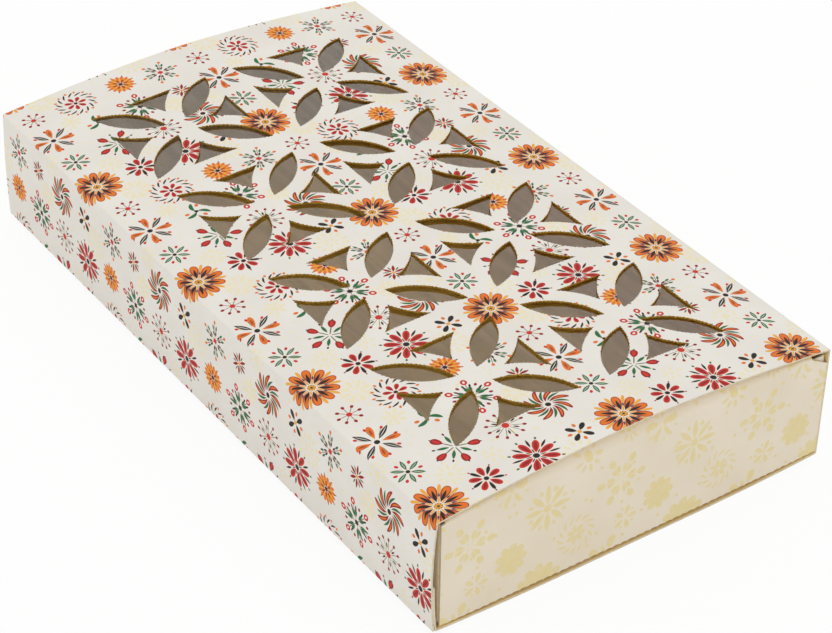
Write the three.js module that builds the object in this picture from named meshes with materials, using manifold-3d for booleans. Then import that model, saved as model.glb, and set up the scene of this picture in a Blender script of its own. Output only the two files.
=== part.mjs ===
// A sliding chocolate box: a printed board sleeve with cut-out windows over a clear film,
// and a roll-end board tray that slides through it. Millimetres, +Z up, and the tray slides along Y.
// The origin is the middle of the strip of the bottom panel that the box stands on.
import * as THREE from 'three';
import { mergeVertices } from 'three/addons/utils/BufferGeometryUtils.js';
import Module from 'manifold-3d';

// Stock thicknesses
const BOARD = 0.5;
const FILM = 0.1;
const GLUE = 0.1;
const LAY_GAP = 0.05; // air between curved layers that lie on each other

// Sleeve
const SLEEVE_WIDTH = 126;
const SLEEVE_LENGTH = 225;
const WALL_HEIGHT = 35; // bottom crease to top crease
const TOP_BOW = 3.6; // how far the middle of the top panel stands above its creases
const BOTTOM_SAG = 1.2; // how far the middle of the bottom panel hangs below its creases
const REST_WIDTH = 42; // flat strip of the bottom panel that the box stands on
const FLAP_HEIGHT = 14;
const SEAM_GLUE_HEIGHT = 9;

// Windows: petals lie where two circles cross, and a curved triangle fills each side of the tile.
const TILE = 38.6; // square that one window group fills
const ARC_CENTRE = 22.7; // group centre to the centre of each circle
const PETAL_RADIUS = 19.35;
const RIBBON = 5.25; // board left between a petal and a triangle
const PITCH_LONG = 49;
const PITCH_WIDE = 48.2;
const GROUPS_LONG = 4;
const GROUPS_WIDE = 2;
const FILM_MARGIN = 6; // film past the outermost windows
const FILM_GLUE_WIDTH = 4;

// Tray
const SIDE_CLEARANCE = 0.4; // tray to the right wall, and to the glue flap
const FLOOR_CLEARANCE = 0.3; // bottom panel's crease to tray base
const HEAD_CLEARANCE = 0.3; // film to rolled edge, and crease to side wall
const END_RECESS = 0.3; // tray end inside the sleeve's mouth
const ROLL_DEPTH = 8; // hollow rolled edge, outside wall to inside wall
const SHOULDER_WIDTH = 5.5; // end wall past the end of its rolled edge
const SHOULDER_DROP = 2; // how far a shoulder slopes down to the wall's corner
const CORNER_TAB_LENGTH = 24;
const CORNER_TAB_RELIEF = 3; // tab's top edge below the side wall's
const INNER_WALL_CLEARANCE = 0.3;
const LOCK_TAB_WIDTH = 16;
const LOCK_TAB_PITCH = 64;
const SLOT_CLEARANCE = 0.3;

// Smoothness of the curves
const BOW_STEPS = 8;
const ARC_STEPS = 6;
const ROLL_STEPS = 8;

// Heights and half widths that the pieces share
const halfWidth = SLEEVE_WIDTH / 2;
const lowCrease = BOTTOM_SAG;
const highCrease = BOTTOM_SAG + WALL_HEIGHT;
const wallFoot = lowCrease + BOARD;
const wallHead = highCrease - BOARD;
const seamStack = 2 * BOARD + GLUE; // wall, glue and flap, seen from above
const bowHalf = halfWidth - BOARD; // the top panel bows between its walls
const cutFoot = wallHead - BOARD; // cuts through the bowed layers start below them
const cutDepth = TOP_BOW + 3 * BOARD;

const groupsHalfLong = ((GROUPS_LONG - 1) * PITCH_LONG + TILE) / 2;
const groupsHalfWide = ((GROUPS_WIDE - 1) * PITCH_WIDE + TILE) / 2;
const filmHalfLong = groupsHalfLong + FILM_MARGIN;
const filmHalfWide = groupsHalfWide + FILM_MARGIN;
const filmStack = GLUE + FILM + 2 * LAY_GAP;

const roomWide = SLEEVE_WIDTH - BOARD - seamStack; // glue flap to right wall
const trayMiddle = (seamStack - BOARD) / 2; // the flap moves the tray off the sleeve's middle
const trayHalfWide = roomWide / 2 - SIDE_CLEARANCE;
const trayHalfLong = SLEEVE_LENGTH / 2 - END_RECESS;
const trayUnderside = wallFoot + FLOOR_CLEARANCE;
const trayFloor = trayUnderside + BOARD;
const sideWallHead = wallHead - HEAD_CLEARANCE;
const rollHalfDeep = ROLL_DEPTH / 2;
const rollFoot = sideWallHead - BOARD; // straight creases at which the end walls turn into the rolled edge
const rollHalfWide = trayHalfWide - SHOULDER_WIDTH;
const innerHalfWide = trayHalfWide - BOARD - INNER_WALL_CLEARANCE;
const rollDropFromBoard = filmStack + HEAD_CLEARANCE; // top panel's underside to the roll's crest

const wasm = await Module();
wasm.setup();

const printedBoard = { color: 0xe6e3dc, roughness: 0.55, metalness: 0 };
const creamBoard = { color: 0xded3c0, roughness: 0.6, metalness: 0 };
const clearFilm = { color: 0xe8eaea, roughness: 0.08, metalness: 0, transparent: true, opacity: 0.3 };
const dryGlue = { color: 0xd8d2bd, roughness: 0.5, metalness: 0 };

const sleeve = new THREE.Group();
const tray = new THREE.Group();

// One named piece, added to the sleeve or the tray
function addPiece(group, name, geometry, finish, position = [0, 0, 0]) {
  const mesh = new THREE.Mesh(geometry, new THREE.MeshStandardMaterial(finish));
  mesh.name = name;
  mesh.position.set(...position);
  group.add(mesh);
}

// A flat sheet between two corners
function addSheet(group, name, finish, low, high) {
  const size = high.map((value, axis) => value - low[axis]);
  const middle = high.map((value, axis) => (value + low[axis]) / 2);
  addPiece(group, name, new THREE.BoxGeometry(...size), finish, middle);
}

// An outline in the X-Z plane, made into a plate that runs along Y from yLow to yHigh
function plateAlongY(shape, yLow, yHigh) {
  const geometry = new THREE.ExtrudeGeometry(shape, { depth: yHigh - yLow, bevelEnabled: false });
  return geometry.rotateX(Math.PI / 2).translate(0, yHigh, 0);
}

function toSolid(geometry) {
  const bare = geometry.clone();
  bare.deleteAttribute('normal');
  bare.deleteAttribute('uv');
  const merged = mergeVertices(bare);
  const vertProperties = new Float32Array(merged.attributes.position.array);
  const triVerts = new Uint32Array(merged.index.array);
  return new wasm.Manifold(new wasm.Mesh({ numProp: 3, vertProperties, triVerts }));
}

function toGeometry(solid) {
  const mesh = solid.getMesh();
  const geometry = new THREE.BufferGeometry();
  geometry.setAttribute('position', new THREE.BufferAttribute(mesh.vertProperties, 3));
  geometry.setIndex(new THREE.BufferAttribute(mesh.triVerts, 1));
  const facets = geometry.toNonIndexed();
  facets.computeVertexNormals();
  return facets;
}

// Stations across the bow, and the rise of the bowed board over its creases at any x
const bowStations = Array.from({ length: BOW_STEPS + 1 }, (_, i) => bowHalf * ((2 * i) / BOW_STEPS - 1));

function bowRise(x) {
  return TOP_BOW * (1 - (x / bowHalf) ** 2);
}

// The rise on the flat facets between the stations, so that layers lie parallel
function facetRise(x) {
  const stepWidth = (2 * bowHalf) / BOW_STEPS;
  const step = Math.min(Math.floor((x + bowHalf) / stepWidth), BOW_STEPS - 1);
  const start = bowStations[step];
  const share = (x - start) / stepWidth;
  return bowRise(start) * (1 - share) + bowRise(bowStations[step + 1]) * share;
}

// Points along the bow between -half and half, at a height over the upper crease
function bowLine(half, height) {
  const inside = bowStations.filter((x) => Math.abs(x) < half);
  return [-half, ...inside, half].map((x) => new THREE.Vector2(x, highCrease + facetRise(x) + height));
}

// A bowed layer: its upper face lies at a height over the bowed line of the upper creases
function bowedLayer(half, height, thickness) {
  const upper = bowLine(half, height);
  const lower = bowLine(half, height - thickness).reverse();
  return new THREE.Shape([...upper, ...lower]);
}

// Top panel of the sleeve: a level land over each wall, and the bow between them
function topPanelBlank() {
  const upper = bowLine(bowHalf, 0);
  const lower = bowLine(bowHalf, -BOARD).reverse();
  const outline = [
    new THREE.Vector2(-halfWidth, wallHead),
    new THREE.Vector2(-halfWidth, highCrease),
    ...upper,
    new THREE.Vector2(halfWidth, highCrease),
    new THREE.Vector2(halfWidth, wallHead),
    ...lower,
  ];
  return plateAlongY(new THREE.Shape(outline), -SLEEVE_LENGTH / 2, SLEEVE_LENGTH / 2);
}

// A petal on the diagonal between +X and +Y, where two circles cross
function petalShape() {
  const spread = Math.sqrt(2 * PETAL_RADIUS ** 2 - ARC_CENTRE ** 2);
  const inner = (ARC_CENTRE - spread) / 2;
  const outer = (ARC_CENTRE + spread) / 2;
  const fromX = [Math.atan2(outer, outer - ARC_CENTRE), Math.atan2(inner, inner - ARC_CENTRE)];
  const fromY = [Math.atan2(inner - ARC_CENTRE, inner), Math.atan2(outer - ARC_CENTRE, outer)];
  const shape = new THREE.Shape();
  shape.absarc(ARC_CENTRE, 0, PETAL_RADIUS, ...fromX, false);
  shape.absarc(0, ARC_CENTRE, PETAL_RADIUS, ...fromY, false);
  return shape;
}

// A triangle on +X with its straight side outward and its two other sides hollowed by circles
function triangleShape() {
  const radius = PETAL_RADIUS + RIBBON;
  const base = TILE / 2;
  const apex = Math.sqrt(radius ** 2 - ARC_CENTRE ** 2);
  const baseHalf = ARC_CENTRE - Math.sqrt(radius ** 2 - base ** 2);
  const upperStart = Math.atan2(baseHalf - ARC_CENTRE, base);
  const upperEnd = Math.atan2(-ARC_CENTRE, apex);
  const shape = new THREE.Shape();
  shape.absarc(0, ARC_CENTRE, radius, upperStart, upperEnd, true);
  shape.absarc(0, -ARC_CENTRE, radius, -upperEnd, -upperStart, true);
  return shape;
}

// All the window groups as upright prisms through the top panel
function windowCutters() {
  const options = { depth: cutDepth, bevelEnabled: false, curveSegments: ARC_STEPS };
  const cutters = [];
  for (const shape of [petalShape(), triangleShape()]) {
    for (let quarter = 0; quarter < 4; quarter++) {
      const window = new THREE.ExtrudeGeometry(shape, options).rotateZ((quarter * Math.PI) / 2);
      for (let row = 0; row < GROUPS_LONG; row++) {
        for (let column = 0; column < GROUPS_WIDE; column++) {
          const x = (column - (GROUPS_WIDE - 1) / 2) * PITCH_WIDE;
          const y = (row - (GROUPS_LONG - 1) / 2) * PITCH_LONG;
          cutters.push(window.clone().translate(x, y, cutFoot));
        }
      }
    }
  }
  return cutters;
}

function topPanel() {
  let solid = toSolid(topPanelBlank());
  for (const cutter of windowCutters()) {
    solid = solid.subtract(toSolid(cutter));
  }
  return toGeometry(solid);
}

// Bottom panel: level lands under the walls and the seam, and a sag to the flat resting strip
function bottomPanel() {
  const restHalf = REST_WIDTH / 2;
  const sagHalf = halfWidth - seamStack;
  const sagSteps = BOW_STEPS / 2;
  const rightSide = [];
  for (let i = 0; i <= sagSteps; i++) {
    const share = i / sagSteps;
    rightSide.push(new THREE.Vector2(restHalf + (sagHalf - restHalf) * share, BOTTOM_SAG * share ** 2));
  }
  rightSide.push(new THREE.Vector2(halfWidth, lowCrease));
  const leftSide = rightSide.map((p) => new THREE.Vector2(-p.x, p.y)).reverse();
  const lower = [...leftSide, ...rightSide];
  const upper = lower.map((p) => new THREE.Vector2(p.x, p.y + BOARD)).reverse();
  const shape = new THREE.Shape([...lower, ...upper]);
  return plateAlongY(shape, -SLEEVE_LENGTH / 2, SLEEVE_LENGTH / 2);
}

// The glue that holds the film: a bowed frame round the windows, inside the film's edge
function filmGlueBorder() {
  const frame = plateAlongY(bowedLayer(filmHalfWide, -BOARD - LAY_GAP, GLUE), -filmHalfLong, filmHalfLong);
  const openWide = 2 * (filmHalfWide - FILM_GLUE_WIDTH);
  const openLong = 2 * (filmHalfLong - FILM_GLUE_WIDTH);
  const opening = new THREE.BoxGeometry(openWide, openLong, cutDepth);
  opening.translate(0, 0, cutFoot + cutDepth / 2);
  return toGeometry(toSolid(frame).subtract(toSolid(opening)));
}

function buildSleeve() {
  const yHalf = SLEEVE_LENGTH / 2;
  const wallFace = -halfWidth + BOARD; // inside of the left wall, which the flap is glued to
  const flapFace = wallFace + GLUE;
  addPiece(sleeve, 'sleeve_top_panel', topPanel(), printedBoard);
  const leftLow = [-halfWidth, -yHalf, wallFoot];
  const leftHigh = [wallFace, yHalf, wallHead];
  addSheet(sleeve, 'sleeve_left_wall', printedBoard, leftLow, leftHigh);
  const rightLow = [halfWidth - BOARD, -yHalf, wallFoot];
  const rightHigh = [halfWidth, yHalf, wallHead];
  addSheet(sleeve, 'sleeve_right_wall', printedBoard, rightLow, rightHigh);
  addPiece(sleeve, 'sleeve_bottom_panel', bottomPanel(), printedBoard);
  const flapLow = [flapFace, -yHalf, wallFoot];
  const flapHigh = [flapFace + BOARD, yHalf, wallFoot + FLAP_HEIGHT];
  addSheet(sleeve, 'sleeve_glue_flap', printedBoard, flapLow, flapHigh);
  const seamMiddle = wallFoot + FLAP_HEIGHT / 2;
  const seamLow = [wallFace, -yHalf, seamMiddle - SEAM_GLUE_HEIGHT / 2];
  const seamHigh = [flapFace, yHalf, seamMiddle + SEAM_GLUE_HEIGHT / 2];
  addSheet(sleeve, 'sleeve_seam_glue', dryGlue, seamLow, seamHigh);
  addPiece(sleeve, 'film_glue_border', filmGlueBorder(), dryGlue);
  const filmTop = -BOARD - GLUE - 2 * LAY_GAP;
  const film = plateAlongY(bowedLayer(filmHalfWide, filmTop, FILM), -filmHalfLong, filmHalfLong);
  addPiece(sleeve, 'window_film', film, clearFilm);
}

// Outline of an end wall: its head is straight along the rolled edge and slopes down at both ends
function endWallOutline(half) {
  const corner = rollFoot - SHOULDER_DROP;
  return [
    new THREE.Vector2(-half, trayFloor),
    new THREE.Vector2(-half, corner),
    new THREE.Vector2(-rollHalfWide, rollFoot),
    new THREE.Vector2(rollHalfWide, rollFoot),
    new THREE.Vector2(half, corner),
    new THREE.Vector2(half, trayFloor),
  ];
}

function outerEndWall() {
  return plateAlongY(new THREE.Shape(endWallOutline(trayHalfWide)), 0, BOARD);
}

// Inner end wall: rolled over from the outer one, with lock tabs that reach into the base
function innerEndWall() {
  const lockEdges = [];
  for (const middle of [LOCK_TAB_PITCH / 2, -LOCK_TAB_PITCH / 2]) {
    lockEdges.push(new THREE.Vector2(middle + LOCK_TAB_WIDTH / 2, trayFloor));
    lockEdges.push(new THREE.Vector2(middle + LOCK_TAB_WIDTH / 2, trayUnderside));
    lockEdges.push(new THREE.Vector2(middle - LOCK_TAB_WIDTH / 2, trayUnderside));
    lockEdges.push(new THREE.Vector2(middle - LOCK_TAB_WIDTH / 2, trayFloor));
  }
  const outline = [...endWallOutline(innerHalfWide), ...lockEdges];
  return plateAlongY(new THREE.Shape(outline), 0, BOARD);
}

// Rolled edge: a hollow arch of board along X that leans back from both creases,
// with its crest raised station by station to follow the bow
function rolledEdge() {
  const stations = bowLine(rollHalfWide, -BOARD - rollDropFromBoard);
  const ring = new THREE.Shape();
  ring.absarc(0, 0, rollHalfDeep, 0, Math.PI, false);
  ring.absarc(0, 0, rollHalfDeep - BOARD, Math.PI, 0, true);
  const steps = stations.length - 1;
  const options = { depth: steps, steps, bevelEnabled: false, curveSegments: ROLL_STEPS };
  const geometry = new THREE.ExtrudeGeometry(ring, options);
  const points = geometry.attributes.position;
  for (let i = 0; i < points.count; i++) {
    const station = stations[Math.round(points.getZ(i))];
    const radius = Math.hypot(points.getX(i), points.getY(i));
    const angle = Math.atan2(Math.max(points.getY(i), 0), points.getX(i));
    const rise = station.y - rollFoot - (rollHalfDeep - radius);
    const across = radius * (1 - (2 * angle) / Math.PI);
    points.setXYZ(i, station.x, rollHalfDeep + across, rollFoot + rise * Math.sin(angle));
  }
  geometry.computeVertexNormals();
  return geometry;
}

// Tray base, with a slot for each lock tab of the inner end walls
function trayBase() {
  let solid = toSolid(new THREE.BoxGeometry(2 * trayHalfWide, 2 * trayHalfLong, BOARD));
  const innerWallMiddle = trayHalfLong - ROLL_DEPTH + BOARD / 2;
  const slotWide = LOCK_TAB_WIDTH + 2 * SLOT_CLEARANCE;
  const slotLong = BOARD + 2 * SLOT_CLEARANCE;
  for (const y of [-innerWallMiddle, innerWallMiddle]) {
    for (const x of [-LOCK_TAB_PITCH / 2, LOCK_TAB_PITCH / 2]) {
      const slot = new THREE.BoxGeometry(slotWide, slotLong, 2 * BOARD).translate(x, y, 0);
      solid = solid.subtract(toSolid(slot));
    }
  }
  return toGeometry(solid).translate(0, 0, (trayUnderside + trayFloor) / 2);
}

// One end of the tray, built for the -Y end and turned half round for the other
function buildTrayEnd(endName, turn) {
  const end = new THREE.Group();
  end.rotation.z = turn;
  addPiece(end, `tray_${endName}_wall`, outerEndWall(), creamBoard, [0, -trayHalfLong, 0]);
  addPiece(end, `tray_${endName}_rolled_edge`, rolledEdge(), creamBoard, [0, -trayHalfLong, 0]);
  const innerStart = -trayHalfLong + ROLL_DEPTH - BOARD;
  addPiece(end, `tray_${endName}_inner_wall`, innerEndWall(), creamBoard, [0, innerStart, 0]);
  tray.add(end);
}

function buildTray() {
  addPiece(tray, 'tray_base', trayBase(), creamBoard);
  const wallHalfLong = trayHalfLong - BOARD;
  const sides = { left: -1, right: 1 };
  const ends = { front: -1, back: 1 };
  for (const [side, sign] of Object.entries(sides)) {
    const faces = [sign * (trayHalfWide - BOARD), sign * trayHalfWide];
    const low = [Math.min(...faces), -wallHalfLong, trayFloor];
    const high = [Math.max(...faces), wallHalfLong, sideWallHead];
    addSheet(tray, `tray_${side}_wall`, creamBoard, low, high);
    // Corner tabs fold in from the side wall and lie inside the outer end wall.
    for (const [end, way] of Object.entries(ends)) {
      const across = [sign * (trayHalfWide - BOARD), sign * (trayHalfWide - BOARD - CORNER_TAB_LENGTH)];
      const along = [way * wallHalfLong, way * (wallHalfLong - BOARD)];
      const head = sideWallHead - CORNER_TAB_RELIEF;
      const tabLow = [Math.min(...across), Math.min(...along), trayFloor];
      const tabHigh = [Math.max(...across), Math.max(...along), head];
      addSheet(tray, `tray_${end}_${side}_corner_tab`, creamBoard, tabLow, tabHigh);
    }
  }
  buildTrayEnd('front', 0);
  buildTrayEnd('back', Math.PI);
}

buildSleeve();
buildTray();

tray.position.x = trayMiddle;

const box = new THREE.Group();
box.add(sleeve, tray);
export default box;
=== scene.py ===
"""Looks of a sliding chocolate box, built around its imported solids.

A printed board sleeve with cut-out windows over a clear film, and a cream roll-end tray inside it.
Lengths are millimetres in the classes below, and become metres when a mesh is made.
"""

import logging
import math
import random
from dataclasses import dataclass, field
from enum import Enum, IntEnum
from typing import Callable, List, Optional, Sequence, Tuple, Union

import bpy
import numpy as np
from mathutils import Matrix, Vector
from mathutils.geometry import delaunay_2d_cdt
from mathutils.kdtree import KDTree


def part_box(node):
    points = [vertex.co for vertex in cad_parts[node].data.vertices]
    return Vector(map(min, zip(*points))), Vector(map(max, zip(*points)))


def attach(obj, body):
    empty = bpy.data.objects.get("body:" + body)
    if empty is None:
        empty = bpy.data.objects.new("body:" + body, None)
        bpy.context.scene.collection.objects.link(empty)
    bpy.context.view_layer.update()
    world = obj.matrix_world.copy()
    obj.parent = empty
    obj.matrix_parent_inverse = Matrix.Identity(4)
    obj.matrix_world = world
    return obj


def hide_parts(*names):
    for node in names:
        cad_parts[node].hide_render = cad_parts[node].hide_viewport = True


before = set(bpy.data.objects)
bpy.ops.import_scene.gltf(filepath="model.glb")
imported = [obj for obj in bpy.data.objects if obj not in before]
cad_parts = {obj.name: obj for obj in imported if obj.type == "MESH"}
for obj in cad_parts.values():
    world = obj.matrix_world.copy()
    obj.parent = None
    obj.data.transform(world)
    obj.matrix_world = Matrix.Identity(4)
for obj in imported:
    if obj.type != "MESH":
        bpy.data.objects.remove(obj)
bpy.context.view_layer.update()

LOG = logging.getLogger("chocolate_box")
MM = 0.001
BLANK = "blank"  # mesh attribute that holds each point's place on the flat blank
SLOPE_STEP = 0.01  # how far apart a surface is read to find its slope
SHARP_ANGLE = math.radians(38)  # edges that turn more than this are shown sharp
PLACE_DIGITS = 6  # grid lines that agree to this many decimals are one line
WELD = 1e-7  # points of a blank nearer than this are one point
MIX_SHARE, MIX_BELOW, MIX_ABOVE, MIX_RESULT = 0, 6, 7, 2  # a Mix node's sockets for colours

Colour = Tuple[float, float, float, float]
Point = Tuple[float, float]
Socket = bpy.types.NodeSocket
Value = Union[float, Socket]
Painted = Tuple[Socket, Socket]  # colour and roughness
Surface = Callable[[np.ndarray, np.ndarray], np.ndarray]


def linear(code: int) -> Colour:
    """Turns an sRGB colour code into linear light.

    Args:
        code: colour as 0xRRGGBB.

    Returns:
        The linear colour with full alpha.
    """
    channels = [((code >> shift) & 0xFF) / 255 for shift in (16, 8, 0)]
    light = [c / 12.92 if c <= 0.04045 else ((c + 0.055) / 1.055) ** 2.4 for c in channels]
    return (light[0], light[1], light[2], 1.0)


def node_box(name: str) -> Tuple[np.ndarray, np.ndarray]:
    """Gives a CAD node's lowest and highest corners.

    Args:
        name: the node.

    Returns:
        Both corners in millimetres.
    """
    low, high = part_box(name)
    return np.array(low) / MM, np.array(high) / MM


class NodeBench:
    """Adds and links the nodes of one tree."""

    def __init__(self, tree: bpy.types.NodeTree) -> None:
        """Keeps the tree to work on."""
        self.tree = tree

    def add(self, kind: str, **settings: object) -> bpy.types.Node:
        """Adds a node.

        Args:
            kind: node type without its Shader prefix.
            settings: properties to set on it.

        Returns:
            The new node.
        """
        node = self.tree.nodes.new("ShaderNode" + kind)
        for name, value in settings.items():
            setattr(node, name, value)
        return node

    def feed(self, socket: Socket, value: object) -> None:
        """Links a socket to an input, or sets its plain value.

        Args:
            socket: the input.
            value: another node's output, or a number or colour.
        """
        if isinstance(value, bpy.types.NodeSocket):
            self.tree.links.new(value, socket)
        else:
            socket.default_value = value

    def math(self, operation: str, *values: Value) -> Socket:
        """Adds a Math node and returns its result.

        Args:
            operation: what it does.
            values: its inputs, in order.

        Returns:
            Its result.
        """
        node = self.add("Math", operation=operation)
        for socket, value in zip(node.inputs, values):
            self.feed(socket, value)
        return node.outputs[0]

    def vector(self, operation: str, *values: object) -> bpy.types.Node:
        """Adds a Vector Math node and returns it.

        Args:
            operation: what it does.
            values: its inputs, in order.

        Returns:
            The new node.
        """
        node = self.add("VectorMath", operation=operation)
        for socket, value in zip(node.inputs, values):
            self.feed(socket, value)
        return node

    def ramp(self, value: Value, low: Value, high: Value, start: float = 0.0, end: float = 1.0) -> Socket:
        """Maps a range of values onto another one, clamped.

        Args:
            value: what is mapped.
            low: value that gives start.
            high: value that gives end.
            start: lowest result.
            end: highest result.

        Returns:
            The mapped value.
        """
        node = self.add("MapRange")
        for socket, part in zip(node.inputs, (value, low, high, start, end)):
            self.feed(socket, part)
        return node.outputs[0]

    def mix(self, share: Value, below: object, above: object) -> Socket:
        """Mixes two colours.

        Args:
            share: how much of the upper colour shows.
            below: lower colour.
            above: upper colour.

        Returns:
            The mixed colour.
        """
        node = self.add("Mix", data_type="RGBA")
        for number, value in ((MIX_SHARE, share), (MIX_BELOW, below), (MIX_ABOVE, above)):
            self.feed(node.inputs[number], value)
        return node.outputs[MIX_RESULT]

    def noise(self, place: Socket, scale: float, detail: float, rough: float) -> Socket:
        """Adds a noise texture.

        Args:
            place: coordinates.
            scale: waves per unit of the coordinates.
            detail: octaves.
            rough: strength of the finer octaves.

        Returns:
            The noise, from 0 to 1.
        """
        node = self.add("TexNoise")
        self.feed(node.inputs["Vector"], place)
        node.inputs["Scale"].default_value = scale
        node.inputs["Detail"].default_value = detail
        node.inputs["Roughness"].default_value = rough
        return node.outputs[0]

    def blend(self, share: Value, below: bpy.types.Node, above: bpy.types.Node) -> Socket:
        """Mixes two shaders.

        Args:
            share: how much of the upper shader shows.
            below: node of the lower shader.
            above: node of the upper shader.

        Returns:
            The mixed shader.
        """
        node = self.add("MixShader")
        for socket, value in zip(node.inputs, (share, below.outputs[0], above.outputs[0])):
            self.feed(socket, value)
        return node.outputs[0]

    def blank_place(self) -> Socket:
        """Gives the place on the flat blank, in millimetres."""
        return self.add("Attribute", attribute_name=BLANK).outputs["Vector"]

    def object_place(self) -> Socket:
        """Gives the place in the piece's own frame, in metres."""
        return self.add("TexCoord").outputs["Object"]

    def group(self, tree: bpy.types.NodeTree, **inputs: object) -> bpy.types.Node:
        """Adds a node group and feeds its inputs by name.

        Args:
            tree: the group's tree.
            inputs: values by input name.

        Returns:
            The group node.
        """
        node = self.add("Group", node_tree=tree)
        for name, value in inputs.items():
            self.feed(node.inputs[name], value)
        return node


def cleared(owner: Union[bpy.types.Material, bpy.types.World]) -> NodeBench:
    """Gives the bench of a material or world, with its nodes cleared away.

    Args:
        owner: the material or world.

    Returns:
        A bench for its empty tree.
    """
    owner.use_nodes = True
    owner.node_tree.nodes.clear()
    return NodeBench(owner.node_tree)


def group_tree(name: str, inputs: Sequence[Tuple[str, str]], outputs: Sequence[Tuple[str, str]]) -> tuple:
    """Starts a node group.

    Args:
        name: the group's name.
        inputs: name and kind of each input socket.
        outputs: name and kind of each output socket.

    Returns:
        The tree, its bench, its input node and its output node.
    """
    tree = bpy.data.node_groups.new(name, "ShaderNodeTree")
    for way, sockets in (("INPUT", inputs), ("OUTPUT", outputs)):
        for label, kind in sockets:
            tree.interface.new_socket(label, in_out=way, socket_type="NodeSocket" + kind)
    return tree, NodeBench(tree), tree.nodes.new("NodeGroupInput"), tree.nodes.new("NodeGroupOutput")


class Ink(Enum):
    """Inks of the flower print."""

    ORANGE = 0xE0701A
    AMBER = 0xEAA83A
    RUST = 0xA83E12
    RED = 0xC9281A
    DEEP_RED = 0x930E14
    GREEN = 0x11693B
    BLACK = 0x0E130E
    WHITE = 0xECE9E2

    def colour(self) -> Colour:
        """Gives the ink in linear light."""
        return linear(self.value)


@dataclass(frozen=True)
class Petals:
    """A wheel of petals, leaves, rays or dots round a motif's centre."""

    ink: Ink
    count: int
    start: float  # distance from the centre to the petal's foot
    end: float  # and to its tip
    width: float  # greatest half width
    turn: float = 0.0  # share of the angle between two petals
    foot: float = 1.0  # 1 is a sharp foot, 0.5 a round one
    tip: float = 1.0
    twist: float = 0.0  # radians for each millimetre outward


@dataclass(frozen=True)
class Spot:
    """A round dot in a motif's middle."""

    ink: Ink
    end: float


@dataclass(frozen=True)
class Motif:
    """One rosette of the print, as layers from the lowest to the topmost."""

    layers: Tuple[Union[Petals, Spot], ...]
    lean: float = 0.0  # radians that the whole motif is turned

    def reach(self) -> float:
        """Gives the motif's outer radius."""
        return max(layer.end for layer in self.layers)


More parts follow.
